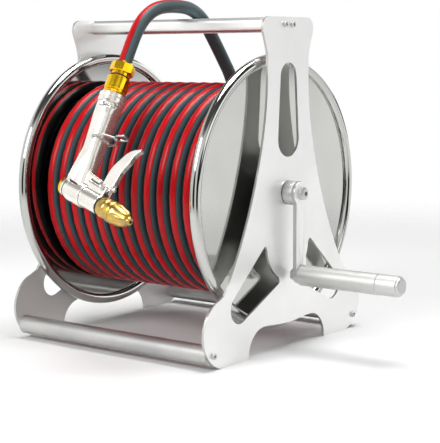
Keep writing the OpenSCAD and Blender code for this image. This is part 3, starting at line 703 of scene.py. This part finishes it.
def ease_edges(width: float, *nodes: str) -> None:
    """Break the sharp edges of CAD nodes, as a deburred cut has them.

    Args:
        width: width of the broken edge in millimetres.
        nodes: the nodes' names.
    """
    for node in nodes:
        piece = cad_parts[node]
        weld = piece.modifiers.new("weld", "WELD")
        weld.merge_threshold = WELD_GAP * MM
        edge = piece.modifiers.new("edge", "BEVEL")
        edge.width, edge.segments, edge.limit_method = width * MM, 2, "ANGLE"
        edge.angle_limit, edge.harden_normals = math.radians(BROKEN_TURN), True


def add_piece(name: str, mesh: bpy.types.Mesh, finish: Finish, body: Body,
              nodes: Iterable[str] = ()) -> bpy.types.Object:
    """Place a piece on its body in the row frame.

    Args:
        name: the piece's name.
        mesh: its mesh, in metres and in place.
        finish: its finish.
        body: the body that it rides on.
        nodes: CAD nodes that it stands for.

    Returns:
        The new object.
    """
    piece = new_object(name, mesh)
    mesh.materials.append(finish.material())
    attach(piece, body.value)
    if nodes:
        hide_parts(*nodes)
    LOG.info("piece %s on %s: %d faces", name, body.value, len(mesh.polygons))
    return piece


def dress(finish: Finish, *nodes: str) -> None:
    """Give CAD nodes a finish.

    Args:
        finish: the finish to assign.
        nodes: the nodes' names.
    """
    for node in nodes:
        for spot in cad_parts[node].material_slots:
            spot.material = finish.material()
        LOG.info("dressed %s in %s", node, finish.name)


@dataclass
class Studio:
    """The camera at the photograph's angle, soft lights and a pale floor."""

    # Angles in degrees, lengths in millimetres; clip_end in metres
    azimuth: float = 37.394
    elevation: float = 7.382
    distance: float = 1558.98
    roll: float = -0.205
    target: Triple = (MID_X + 46.26, 0.0, 141.61)
    lens: float = 104.84
    sensor: float = 36.0
    clip_end: float = 100.0
    floor_half: float = 6000.0
    # Soft boxes: name, middle and side in millimetres, and watts
    boxes: tuple[tuple[str, Triple, float, float], ...] = (
        ("top_box", (100.0, 160.0, 1950.0), 1150.0, 41.0),
        ("front_box", (-300.0, -1900.0, 1300.0), 900.0, 26.0))
    # The room's brightness from its floor (0) to its ceiling (1), behind the reel and on the camera's side
    rear_levels: Pairs = (
        (0.49, 1.15), (0.5, 0.02), (0.545, 0.02), (0.56, 1.6), (0.69, 1.6), (0.72, 0.06), (1.0, 0.06))
    front_levels: Pairs = ((0.49, 1.0), (0.5, 1.0), (0.8, 1.0), (0.88, 0.1), (1.0, 0.1))
    rear_side: Triple = (0.3, 0.95, 0.0)
    side_blend: float = 0.25
    # The share of the room's light that falls on matt surfaces
    shade_share: float = 0.14
    # Directions of the black flags, the cosines of their soft edge, and how much light they leave
    flags: tuple[Triple, ...] = ((-0.7, 0.71, 0.0), (0.1, -0.99, 0.0), (0.97, -0.25, 0.0))
    flag_edge: Pair = (0.9, 0.965)
    flag_level: float = 0.03

    def back(self) -> Vector:
        """The direction from the target to the camera."""
        a, e = math.radians(self.azimuth), math.radians(self.elevation)
        return Vector((math.sin(a) * math.cos(e), -math.cos(a) * math.cos(e), math.sin(e)))

    def camera(self) -> None:
        """Stand the camera where the photograph was taken from."""
        data = bpy.data.cameras.new("camera")
        data.sensor_fit = "AUTO"
        data.sensor_width = self.sensor
        data.lens = self.lens
        data.clip_end = self.clip_end
        eye = new_object("camera", data)
        look = (-self.back()).to_track_quat("-Z", "Y").to_matrix().to_4x4()
        turn = Matrix.Rotation(math.radians(self.roll), 4, "Z")
        spot = (Vector(self.target) + self.back() * self.distance) * MM
        eye.matrix_world = Matrix.Translation(spot) @ look @ turn
        bpy.context.scene.camera = eye
        LOG.info("camera at %s", tuple(round(c, 4) for c in spot))

    def lamp(self, name: str, place: Triple, side: float, watts: float) -> None:
        """Hang one soft box that faces the reel.

        Args:
            name: the light's name.
            place: its middle in millimetres.
            side: its width and height in millimetres.
            watts: its power.
        """
        data = bpy.data.lights.new(name, "AREA")
        data.shape = "RECTANGLE"
        data.size = data.size_y = side * MM
        data.energy = watts
        lamp = new_object(name, data)
        lamp.location = Vector(place) * MM
        aim = Vector((MID_X, 0.0, AXLE_Z)) * MM - lamp.location
        lamp.rotation_euler = aim.to_track_quat("-Z", "Y").to_euler()

    def room(self) -> None:
        """Make the white room: bright above and behind, dim on the camera's side, plain white to the eye."""
        world = bpy.data.worlds.new("white_room")
        world.use_nodes = True
        tree = world.node_tree
        tree.nodes.clear()
        way = add_node(tree, "ShaderNodeTexCoord").outputs["Generated"]
        lift = add_node(tree, "ShaderNodeSeparateXYZ", links={0: way})
        high = add_node(tree, "ShaderNodeMapRange", {"From Min": -1.0}, {"Value": lift.outputs["Z"]})
        front, rear = (add_node(tree, "ShaderNodeValToRGB", links={0: high.outputs[0]}, stops=[
            (at, (level, level, level, 1.0)) for at, level in levels]).outputs[0]
            for levels in (self.front_levels, self.rear_levels))
        side = add_node(tree, "ShaderNodeVectorMath", {"operation": "DOT_PRODUCT", 1: self.rear_side},
                        {0: way})
        behind = add_node(tree, "ShaderNodeMapRange", {
            "interpolation_type": "SMOOTHSTEP", "From Min": -self.side_blend, "From Max": self.side_blend},
            {"Value": side.outputs["Value"]})
        wall = add_node(tree, "ShaderNodeMix", {"data_type": "RGBA"},
                        {0: behind.outputs[0], 6: front, 7: rear})
        eye = add_node(tree, "ShaderNodeLightPath")
        share = add_node(tree, "ShaderNodeMapRange", {"To Min": 1.0, "To Max": self.shade_share},
                         {"Value": eye.outputs["Is Diffuse Ray"]}).outputs[0]
        # Black flags beside the object give the polished rims their dark lines
        for flag in self.flags:
            near = add_node(tree, "ShaderNodeVectorMath", {"operation": "DOT_PRODUCT", 1: flag}, {0: way})
            dark = add_node(tree, "ShaderNodeMapRange", {
                "interpolation_type": "SMOOTHSTEP", "From Min": self.flag_edge[0],
                "From Max": self.flag_edge[1], "To Min": 1.0, "To Max": self.flag_level},
                {"Value": near.outputs["Value"]})
            share = add_node(tree, "ShaderNodeMath", {"operation": "MULTIPLY"},
                             {0: share, 1: dark.outputs[0]}).outputs[0]
        glow = add_node(tree, "ShaderNodeBackground", links={"Color": wall.outputs[2], "Strength": share})
        seen = add_node(tree, "ShaderNodeBackground", {"Color": hex_linear("#ffffff"), "Strength": 1.0})
        both = add_node(tree, "ShaderNodeMixShader", links={
            0: eye.outputs["Is Camera Ray"], 1: glow.outputs[0], 2: seen.outputs[0]})
        add_node(tree, "ShaderNodeOutputWorld", links={"Surface": both.outputs[0]})
        bpy.context.scene.world = world
        bpy.context.scene.view_settings.view_transform = "Standard"

    def light(self) -> None:
        """Add the white room, the soft boxes and the floor."""
        self.room()
        for box in self.boxes:
            self.lamp(*box)
        corners = ((-1, -1), (1, -1), (1, 1), (-1, 1))
        ground = Shape([Vector((x, y, 0.0)) * self.floor_half for x, y in corners], [(0, 1, 2, 3)])
        floor = new_object("floor", to_mesh("floor", ground, Crease.SOFT))
        floor.data.materials.append(FLOOR_PAINT.material())


@dataclass
class Hose:
    """The wound hose, in two layers on the drum, and its free stretch over the carry bar."""

    # Lengths in millimetres, from the drum's middle along the axle, and angles in degrees
    diameter: float = 16.0
    bore: float = 12.0
    wind_radius: float = 118.0
    inner_radius: float = 101.8
    pitch: float = 19.0
    turns: float = 12.5
    start_angle: float = 180.0
    left_end: float = -120.75
    barb_x: float = -99.25
    barb_radius: float = 98.0
    inner_left: float = -108.0
    inner_right: float = 113.0
    inner_turn: float = 4020.0
    climb_turn: float = 120.0
    end_length: float = 16.0
    rings: int = 40
    sides: int = 20
    route_steps: int = 6
    route: tuple[Triple, ...] = (
        (0, -117.7, 331.2), (0, -108.2, 348.3), (0, -98.6, 364.4), (0, -88.4, 377.4), (0, -78, 386.2),
        (0, -66, 392.8), (0, -53, 396.6), (0, -40, 398.2), (0, -27, 398.7), (0, -14, 398.4), (0, -0.7, 396.9),
        (0, 12.4, 392.7), (0, 24.4, 385.7), (0, 34.6, 376.5), (0, 45, 364.3), (0, 57.5, 349),
        (0, 70.5, 332.4), (0, 83, 315), (-5, 104, 284), (-15, 122, 250), (-30, 133, 214), (-48, 136, 178),
        (-68, 129, 137), (-88, 109, 101), (-106, 80, 72), (-115, 56, 58))

    def out_at(self, angle: float) -> Vector:
        """The direction away from the axle at an angle from the top, towards the rear."""
        a = math.radians(angle)
        return Vector((0.0, math.sin(a), math.cos(a)))

    def on_drum(self, x: float, radius: float, angle: float) -> Vector:
        """A point at a place along the axle, a radius and an angle."""
        return Vector((MID_X + x, 0.0, AXLE_Z)) + self.out_at(angle) * radius

    def stretches(self) -> list[tuple[Pair, Pair, Pair]]:
        """List the wound hose's stretches: from the barb, the inner layer, the climb and the outer layer.

        Returns:
            The angles, places along the axle and radii at each stretch's start and end.
        """
        right_end = self.left_end + self.pitch * self.turns
        top = self.start_angle + 360.0 * self.turns
        inner, outer = self.inner_radius, self.wind_radius
        return [
            ((360.0, 180.0), (self.barb_x, self.inner_left), (self.barb_radius, inner)),
            ((180.0, 180.0 - self.inner_turn), (self.inner_left, self.inner_right), (inner, inner)),
            ((top + self.climb_turn, top), (self.inner_right, right_end), (inner, outer)),
            ((top, self.start_angle), (right_end, self.left_end), (outer, outer))]

    def wound_line(self) -> tuple[list[Vector], list[Vector]]:
        """Lead the wound hose from its barb over both layers to its left end.

        Returns:
            The middle line and its outward directions.
        """
        step = 360.0 / self.rings
        line: list[Vector] = []
        outs: list[Vector] = []
        for (start, end), (x0, x1), (r0, r1) in self.stretches():
            count = round(abs(end - start) / step)
            for i in range(1 if line else 0, count + 1):
                angle = start + (end - start) * i / count
                share = i / count if r0 == r1 else ease(i / count)
                line.append(self.on_drum(x0 + (x1 - x0) * share, r0 + (r1 - r0) * share, angle))
                outs.append(self.out_at(angle))
        ahead = (line[-1] - line[-2]).normalized()
        line.append(line[-1] + ahead * self.end_length)
        outs.append(outs[-1])
        return line, outs

    def free_line(self) -> tuple[list[Vector], list[Vector]]:
        """Lead the free stretch from behind the drum over the carry bar to the gun.

        Returns:
            The middle line and its outward directions.
        """
        points = [Vector((MID_X + x, y, z)) for x, y, z in reversed(self.route)]
        line = smooth_line(points, self.route_steps)
        outs = [Vector((0.0, p.y, p.z - AXLE_Z)).normalized() for p in line]
        return line, outs

    def build_wound(self) -> None:
        """Make the wound hose and log its length."""
        line, outs = self.wound_line()
        shape = tube(line, outs, self.diameter / 2, self.sides, self.bore / 2)
        piece = add_piece("wound_hose", to_mesh("wound_hose", shape, Crease.SOFT), VINYL_HOSE, Body.REEL,
                          ("hose_winding", "hose_core"))
        LOG.info("wound hose: %.2f m", line_length(line))

    def build_free(self) -> bpy.types.Object:
        """Make the free stretch.

        Returns:
            Its piece.
        """
        line, outs = self.free_line()
        shape = tube(line, outs, self.diameter / 2, self.sides, self.bore / 2)
        return add_piece("free_hose_stretch", to_mesh("free_hose_stretch", shape, Crease.SOFT), FREE_HOSE,
                         Body.FRAME, ("free_hose",))


@dataclass
class SideFrame:
    """Side plates, carry bar, base tubes, screws and bushes."""

    sheet_edge: float = 0.4
    screw_edge: float = 0.3

    def build(self) -> None:
        """Dress the frame's nodes and break the edges of its sheet and screws."""
        plates = ("left_side_plate", "right_side_plate")
        screws = ("carry_bar_screws", "base_tube_screws")
        dress(SATIN_SHEET, *plates)
        ease_edges(self.sheet_edge, *plates)
        dress(BRIGHT_TUBE, "carry_bar")
        dress(GROUND_TUBE, "front_base_tube", "rear_base_tube")
        dress(SATIN_ALUMINIUM, "carry_bar_blocks", "base_tube_inserts", *screws)
        ease_edges(self.screw_edge, *screws)
        dress(ACETAL, "left_bush", "right_bush")


@dataclass
class Drum:
    """Discs, barrel, spindles and tie rods."""

    def build(self) -> None:
        """Dress the drum's nodes."""
        dress(MIRROR_SHEET, "left_disc", "right_disc")
        dress(GROUND_TUBE, "drum_barrel")
        dress(BRASS, "water_spindle", "outlet_elbow")
        dress(ZINC_STEEL, "crank_spindle", "tie_rods", "tie_rod_nuts", "swivel_clip")


@dataclass
class Crank:
    """Hub, arm, screw, grip bolt and grip."""

    edge: float = 0.5

    def build(self) -> None:
        """Dress the crank's nodes and break the edges of arm, hub and nut."""
        dress(SATIN_SHEET, "crank_arm")
        ease_edges(self.edge, "crank_arm", "crank_hub", "grip_nut")
        dress(SATIN_ALUMINIUM, "crank_hub", "crank_screw", "crank_grip", "grip_cap")
        dress(ZINC_STEEL, "grip_bolt", "grip_nut")


@dataclass
class WaterInlet:
    """The swivel housing with its seals."""

    def build(self) -> None:
        """Dress the inlet's nodes."""
        dress(BRASS, "inlet_elbow")
        dress(NITRILE, "swivel_seals")


@dataclass
class SprayGun:
    """The hose coupling and the gun that hangs from it."""

    # Where the gun hangs, in millimetres, its lean and its barrel's droop in degrees, and its handle's length
    hose_end: Triple = (MID_X, -117.7, 331.2)
    lean: float = 29.0
    droop: float = 17.5
    drop: float = 161.5
    # The casting: its handle's stretch, least radius and fades, the dent under the collar, and pressed marks
    # by start, end, width and depth
    cast_grid: float = 0.55
    cast_passes: int = 18
    handle: Pair = (52.0, 140.0)
    handle_least: float = 8.0
    handle_fade: Pair = (6.0, 4.0)
    squareness: float = 0.09
    dent_at: float = 57.5
    dent_depth: float = 4.2
    dent_slopes: Pair = (3.6, 1.0)
    dent_turn: Pair = (0.55, 0.5)
    mark_side: float = 4.5
    marks: tuple[tuple[Pair, Pair, float, float], ...] = (
        ((12.0, 20.0), (28.0, 19.2), 1.9, 1.9), ((-13.5, 7.8), (0.0, 7.4), 0.9, 1.6))
    # Balls that widen the handle into the barrel, by place, way down and radius
    flare: tuple[Triple, ...] = (
        (0.0, 104.0, 11.4), (-1.0, 114.0, 11.9), (-3.5, 126.0, 12.2), (-7.0, 138.0, 12.5),
        (-9.5, 147.0, 12.3))
    flare_steps: int = 4
    ball_steps: int = 12
    # The trigger's lever, finger and knob
    lever_grid: float = 0.45
    lever_passes: int = 8
    lever_thick: float = 7.0
    lever: Pairs = (
        (29.5, 16.0), (27.2, 21.0), (27.0, 26.0), (26.2, 36.8), (27.4, 44.5), (29.8, 51.3), (35.0, 62.6),
        (39.0, 67.6), (43.5, 71.0), (50.4, 74.2), (51.6, 72.4), (48.2, 68.4), (46.4, 63.5), (45.8, 55.6),
        (43.8, 48.6), (42.6, 42.0), (43.0, 33.0), (43.4, 26.5), (41.5, 18.0), (38.5, 13.6), (34.5, 12.2))
    finger_thick: float = 5.0
    finger: Pairs = ((26.5, 8.4), (30.0, 6.2), (38.0, 16.5), (31.0, 18.5))
    knob_at: Triple = (43.0, -1.5, 21.5)
    knob: Pairs = ((0.0, 0.0), (2.3, 0.0), (2.6, 0.6), (2.6, 4.4), (2.1, 5.0), (0.0, 5.0))
    # The wire lock: one leg from its pivot to its tip, and the sleeve where the two legs meet
    lock_at: Triple = (3.0, 0.0, -96.5)
    lock_lift: float = 7.0
    lock_leg: Pairs = ((0.0, 8.0), (0.0, 13.9), (14.5, 13.9), (24.5, 1.9), (30.0, 6.8), (38.5, 5.6))
    lock_bend: float = 1.5
    bend_steps: int = 6
    wire_radius: float = 1.2
    wire_sides: int = 12
    sleeve: tuple[float, ...] = (23.4, 24.0, 26.8, 27.6)
    sleeve_radius: float = 2.8
    sleeve_sides: int = 14
    # The nozzle: radius and place along the collar and the tip, the collar's knurl and the tip's flutes
    collar_at: float = 40.3
    collar_length: float = 24.0
    collar_foot: Pairs = ((8.6, 0.0), (10.25, 0.0), (10.25, 2.88), (10.95, 3.12))
    collar_head: Pairs = (
        (11.55, 13.2), (10.95, 14.4), (11.85, 15.84), (12.15, 19.2), (12.25, 23.0), (11.95, 23.7),
        (11.25, 24.0), (8.6, 24.0))
    knurl_band: Pair = (4.32, 12.48)
    knurl_radii: Pair = (11.15, 11.55)
    knurl_steps: int = 8
    knurl_depth: float = 0.012
    knurl_count: int = 44
    knurl_sides: int = 176
    tip_root: Pairs = ((2.0, -10.0), (8.4, -10.0), (8.4, 0.0), (11.25, 0.0), (11.65, 0.5))
    tip_curve: Pairs = ((11.65, 2.0), (11.65, 12.15), (8.7375, 21.6), (4.427, 23.76))
    tip_mouth: Pairs = ((4.427, 26.0), (3.961, 26.7), (3.495, 27.0), (2.0, 27.0), (2.0, 21.0))
    tip_steps: int = 24
    flute_band: Pair = (3.78, 21.6)
    flute_depth: float = 0.13
    flute_round: float = 0.6
    flute_count: int = 6
    flute_sides: int = 144
    # Black rings: place along the barrel, outer radius and width
    nozzle_ring: Triple = (41.8, 11.4, 2.4)
    cap_ring: Triple = (-17.5, 11.35, 1.2)
    ring_steps: int = 16

    def gun_place(self) -> Matrix:
        """The frame whose Z runs up the handle from the hose's end."""
        return Matrix.Translation(self.hose_end) @ Matrix.Rotation(math.radians(-self.lean), 4, "X")

    def barrel_place(self, along: float = 0.0) -> Matrix:
        """The frame whose X runs along the barrel, from this far off the handle's axis."""
        return (self.gun_place() @ Matrix.Translation((0.0, 0.0, -self.drop))
                @ Matrix.Rotation(math.radians(self.droop), 4, "Y") @ Matrix.Translation((along, 0.0, 0.0)))

    def shape_handle(self, mesh: bpy.types.Mesh) -> None:
        """Square the handle's round section a little and press a dent under its collar.

        Args:
            mesh: the casting's mesh, in metres.
        """
        place = self.gun_place()
        back = place.inverted()
        top, low = self.handle
        for vertex in mesh.vertices:
            p = back @ (vertex.co / MM)
            down, reach, angle = -p.z, math.hypot(p.x, p.y), math.atan2(p.x, -p.y)
            if not top < down < low or reach < self.handle_least:
                continue
            share = (down - top) / (low - top)
            fade = min(1.0, self.handle_fade[0] * share, self.handle_fade[1] * (1.0 - share))
            corner = self.squareness * fade * (0.5 - 0.5 * math.cos(4 * angle))
            slope = self.dent_slopes[0 if down < self.dent_at else 1]
            turn = (angle - self.dent_turn[0]) / self.dent_turn[1]
            dent = math.exp(-((down - self.dent_at) / slope) ** 2 - turn ** 2)
            factor = 1.0 + corner - self.dent_depth * dent / reach
            vertex.co = place @ Vector((p.x * factor, p.y * factor, p.z)) * MM

    def press_marks(self, mesh: bpy.types.Mesh) -> None:
        """Press the casting's long marks in: a recess in each ear and a seam behind the handle.

        Args:
            mesh: the casting's mesh, in metres.
        """
        back = self.barrel_place().inverted()
        moved = []
        for vertex in mesh.vertices:
            p = back @ (vertex.co / MM)
            spot = Vector((p.x, p.z))
            depth = 0.0
            for start, end, width, deep in self.marks if abs(p.y) > self.mark_side else ():
                first, way = Vector(start), Vector(end) - Vector(start)
                share = min(1.0, max(0.0, (spot - first).dot(way) / way.length_squared))
                depth += deep * math.exp(-((spot - first - way * share).length / width) ** 2)
            moved.append(vertex.co - vertex.normal * depth * MM)
        for vertex, place in zip(mesh.vertices, moved):
            vertex.co = place

    def flare_forms(self) -> list[Shape]:
        """Make round forms down the handle's back that widen it smoothly into the barrel.

        Returns:
            The forms, in place.
        """
        forms = []
        angles = [math.pi * i / self.ball_steps for i in range(self.ball_steps + 1)]
        for (x0, down0, r0), (x1, down1, r1) in zip(self.flare, self.flare[1:]):
            for k in range(self.flare_steps):
                t = k / self.flare_steps
                r = r0 + (r1 - r0) * t
                ball = lathe([(r * math.sin(a), r * -math.cos(a)) for a in angles], BALL_SIDES)
                spot = Vector((x0 + (x1 - x0) * t, 0.0, -(down0 + (down1 - down0) * t)))
                forms.append(ball.moved(self.gun_place() @ Matrix.Translation(spot)))
        return forms

    def trigger_forms(self) -> list[Shape]:
        """Make the trigger's lever, finger and knob.

        Returns:
            The three forms, in place.
        """
        place = self.barrel_place()
        return [prism(self.lever, self.lever_thick).moved(place),
                prism(self.finger, self.finger_thick).moved(place),
                lathe(self.knob, BALL_SIDES).moved(place @ Matrix.Translation(self.knob_at))]

    def lock_wire(self) -> Shape:
        """Bend the lock's wire round the handle, with a sleeve where its legs meet.

        Returns:
            The wire and its sleeve, in place.
        """
        corners = [Vector((x, y, 0.0)) for x, y in self.lock_leg]
        corners += [Vector((x, -y, 0.0)) for x, y in reversed(self.lock_leg)]
        line = rounded_line(corners, self.lock_bend, self.bend_steps)
        up = Vector((0.0, 0.0, 1.0))
        wire = tube(line, [up] * len(line), self.wire_radius, self.wire_sides)
        sleeve = [Vector((x, 0.0, 0.0)) for x in self.sleeve]
        wire.join(tube(sleeve, [up] * len(sleeve), self.sleeve_radius, self.sleeve_sides))
        wire.girth = []
        return wire.moved(self.gun_place() @ Matrix.Translation(self.lock_at)
                          @ Matrix.Rotation(math.radians(-self.lock_lift), 4, "Y"))

    def knurl(self, angle: float, x: float) -> float:
        """The radius factor of the collar's knurled band, from the angle and the place along it."""
        inside = self.knurl_band[0] < x < self.knurl_band[1]
        return 1.0 + (self.knurl_depth * math.cos(self.knurl_count * angle) if inside else 0.0)

    def flute(self, angle: float, x: float) -> float:
        """The radius factor of the tip's long recesses, which fade at both ends.

        Args:
            angle: the angle round the tip.
            x: the place along the tip.

        Returns:
            The factor, one where there is no recess.
        """
        start, end = self.flute_band
        if not start < x < end:
            return 1.0
        along = max(0.0, math.sin(math.pi * (x - start) / (end - start)))
        across = max(0.0, math.cos(self.flute_count * angle))
        return 1.0 - self.flute_depth * math.sqrt(along) * across ** self.flute_round

    def collar(self) -> Shape:
        """Turn the nozzle's collar with a knurled band.

        Returns:
            The collar, in place.
        """
        (low, high), (start, end), steps = self.knurl_radii, self.knurl_band, self.knurl_steps
        band = [(low + (high - low) * i / steps, start + (end - start) * i / steps) for i in range(steps + 1)]
        profile = [*self.collar_foot, *band, *self.collar_head]
        return lathe(profile, self.knurl_sides, self.knurl).moved(self.barrel_place(self.collar_at))

    def tip(self) -> Shape:
        """Turn the bullet-shaped tip with long recesses round it.

        Returns:
            The tip, in place.
        """
        bow = []
        for i in range(self.tip_steps + 1):
            t = i / self.tip_steps
            share = ((1 - t) ** 3, 3 * (1 - t) ** 2 * t, 3 * (1 - t) * t * t, t ** 3)
            bow.append(tuple(sum(w * e[k] for w, e in zip(share, self.tip_curve)) for k in (0, 1)))
        profile = [*self.tip_root, *bow, *self.tip_mouth]
        return lathe(profile, self.flute_sides, self.flute).moved(
            self.barrel_place(self.collar_at + self.collar_length))

    def ring(self, at: float, radius: float, thick: float) -> Shape:
        """Turn a black ring round the barrel.

        Args:
            at: the ring's middle along the barrel.
            radius: its outer radius.
            thick: its width.

        Returns:
            The ring, in place.
        """
        half = thick / 2
        angles = [2 * math.pi * i / self.ring_steps for i in range(self.ring_steps)]
        profile = [(radius - half + half * math.sin(a), at - half * math.cos(a)) for a in angles]
        return lathe(profile, RING_SIDES, hollow=True).moved(self.barrel_place())

    def build(self) -> list[bpy.types.Object]:
        """Build the cast and turned pieces and dress the other nodes.

        Returns:
            The nodes that hang on the hose.
        """
        cast = ("gun_handle", "gun_barrel")
        casting = cast_copy("gun_casting", cast, self.flare_forms(), self.cast_grid, self.cast_passes)
        self.shape_handle(casting)
        self.press_marks(casting)
        lever = cast_copy("trigger_casting", (), self.trigger_forms(), self.lever_grid, self.lever_passes)
        add_piece("gun_casting", casting, CAST_NICKEL, Body.FRAME, cast)
        add_piece("trigger_casting", lever, CAST_NICKEL, Body.TRIGGER, ("trigger",))
        collar, tip = self.collar(), self.tip()
        rings = self.ring(*self.nozzle_ring), self.ring(*self.cap_ring)
        for name, shape, crease, finish, body, slot, nodes in (
                ("lock_wire", self.lock_wire(), Crease.WIRE, ZINC_STEEL, Body.LOCK, "fine_steel",
                 ("trigger_lock",)),
                ("nozzle_collar_turned", collar, Crease.TURNED, WORN_BRASS, Body.NOZZLE, "brass",
                 ("nozzle_collar",)),
                ("nozzle_tip_turned", tip, Crease.TURNED, WORN_BRASS, Body.NOZZLE, "brass", ("nozzle_tip",)),
                ("nozzle_ring", rings[0], Crease.SOFT, NITRILE, Body.NOZZLE, "seal_rubber", ()),
                ("rear_cap_ring", rings[1], Crease.SOFT, NITRILE, Body.FRAME, "seal_rubber", ())):
            add_piece(name, to_mesh(name, shape, crease), finish, body, nodes)
        dress(BRASS, "hose_nut", "coupling_body", "coupling_sleeve", "gun_rear_cap")
        dress(NITRILE, "coupling_seal")
        dress(NICKEL, "gun_inlet_collar")
        dress(ZINC_STEEL, "valve_stem", "valve_spring", "trigger_pin")
        names = ("hose_nut", "coupling_body", "coupling_seal", "coupling_sleeve", "gun_inlet_collar",
                 "gun_rear_cap", "valve_stem", "valve_spring", "trigger_pin")
        return [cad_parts[n] for n in names]


def main() -> None:
    """Build the camera and the hose first, then the other pieces and the light."""
    logging.basicConfig(level=logging.INFO, format="%(name)s: %(message)s")
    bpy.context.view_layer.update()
    studio = Studio()
    studio.camera()
    hose = Hose()
    hose.build_wound()
    stretch = hose.build_free()
    SideFrame().build()
    Drum().build()
    Crank().build()
    WaterInlet().build()
    SprayGun().build()
    studio.light()


if __name__ == "__main__":
    main()
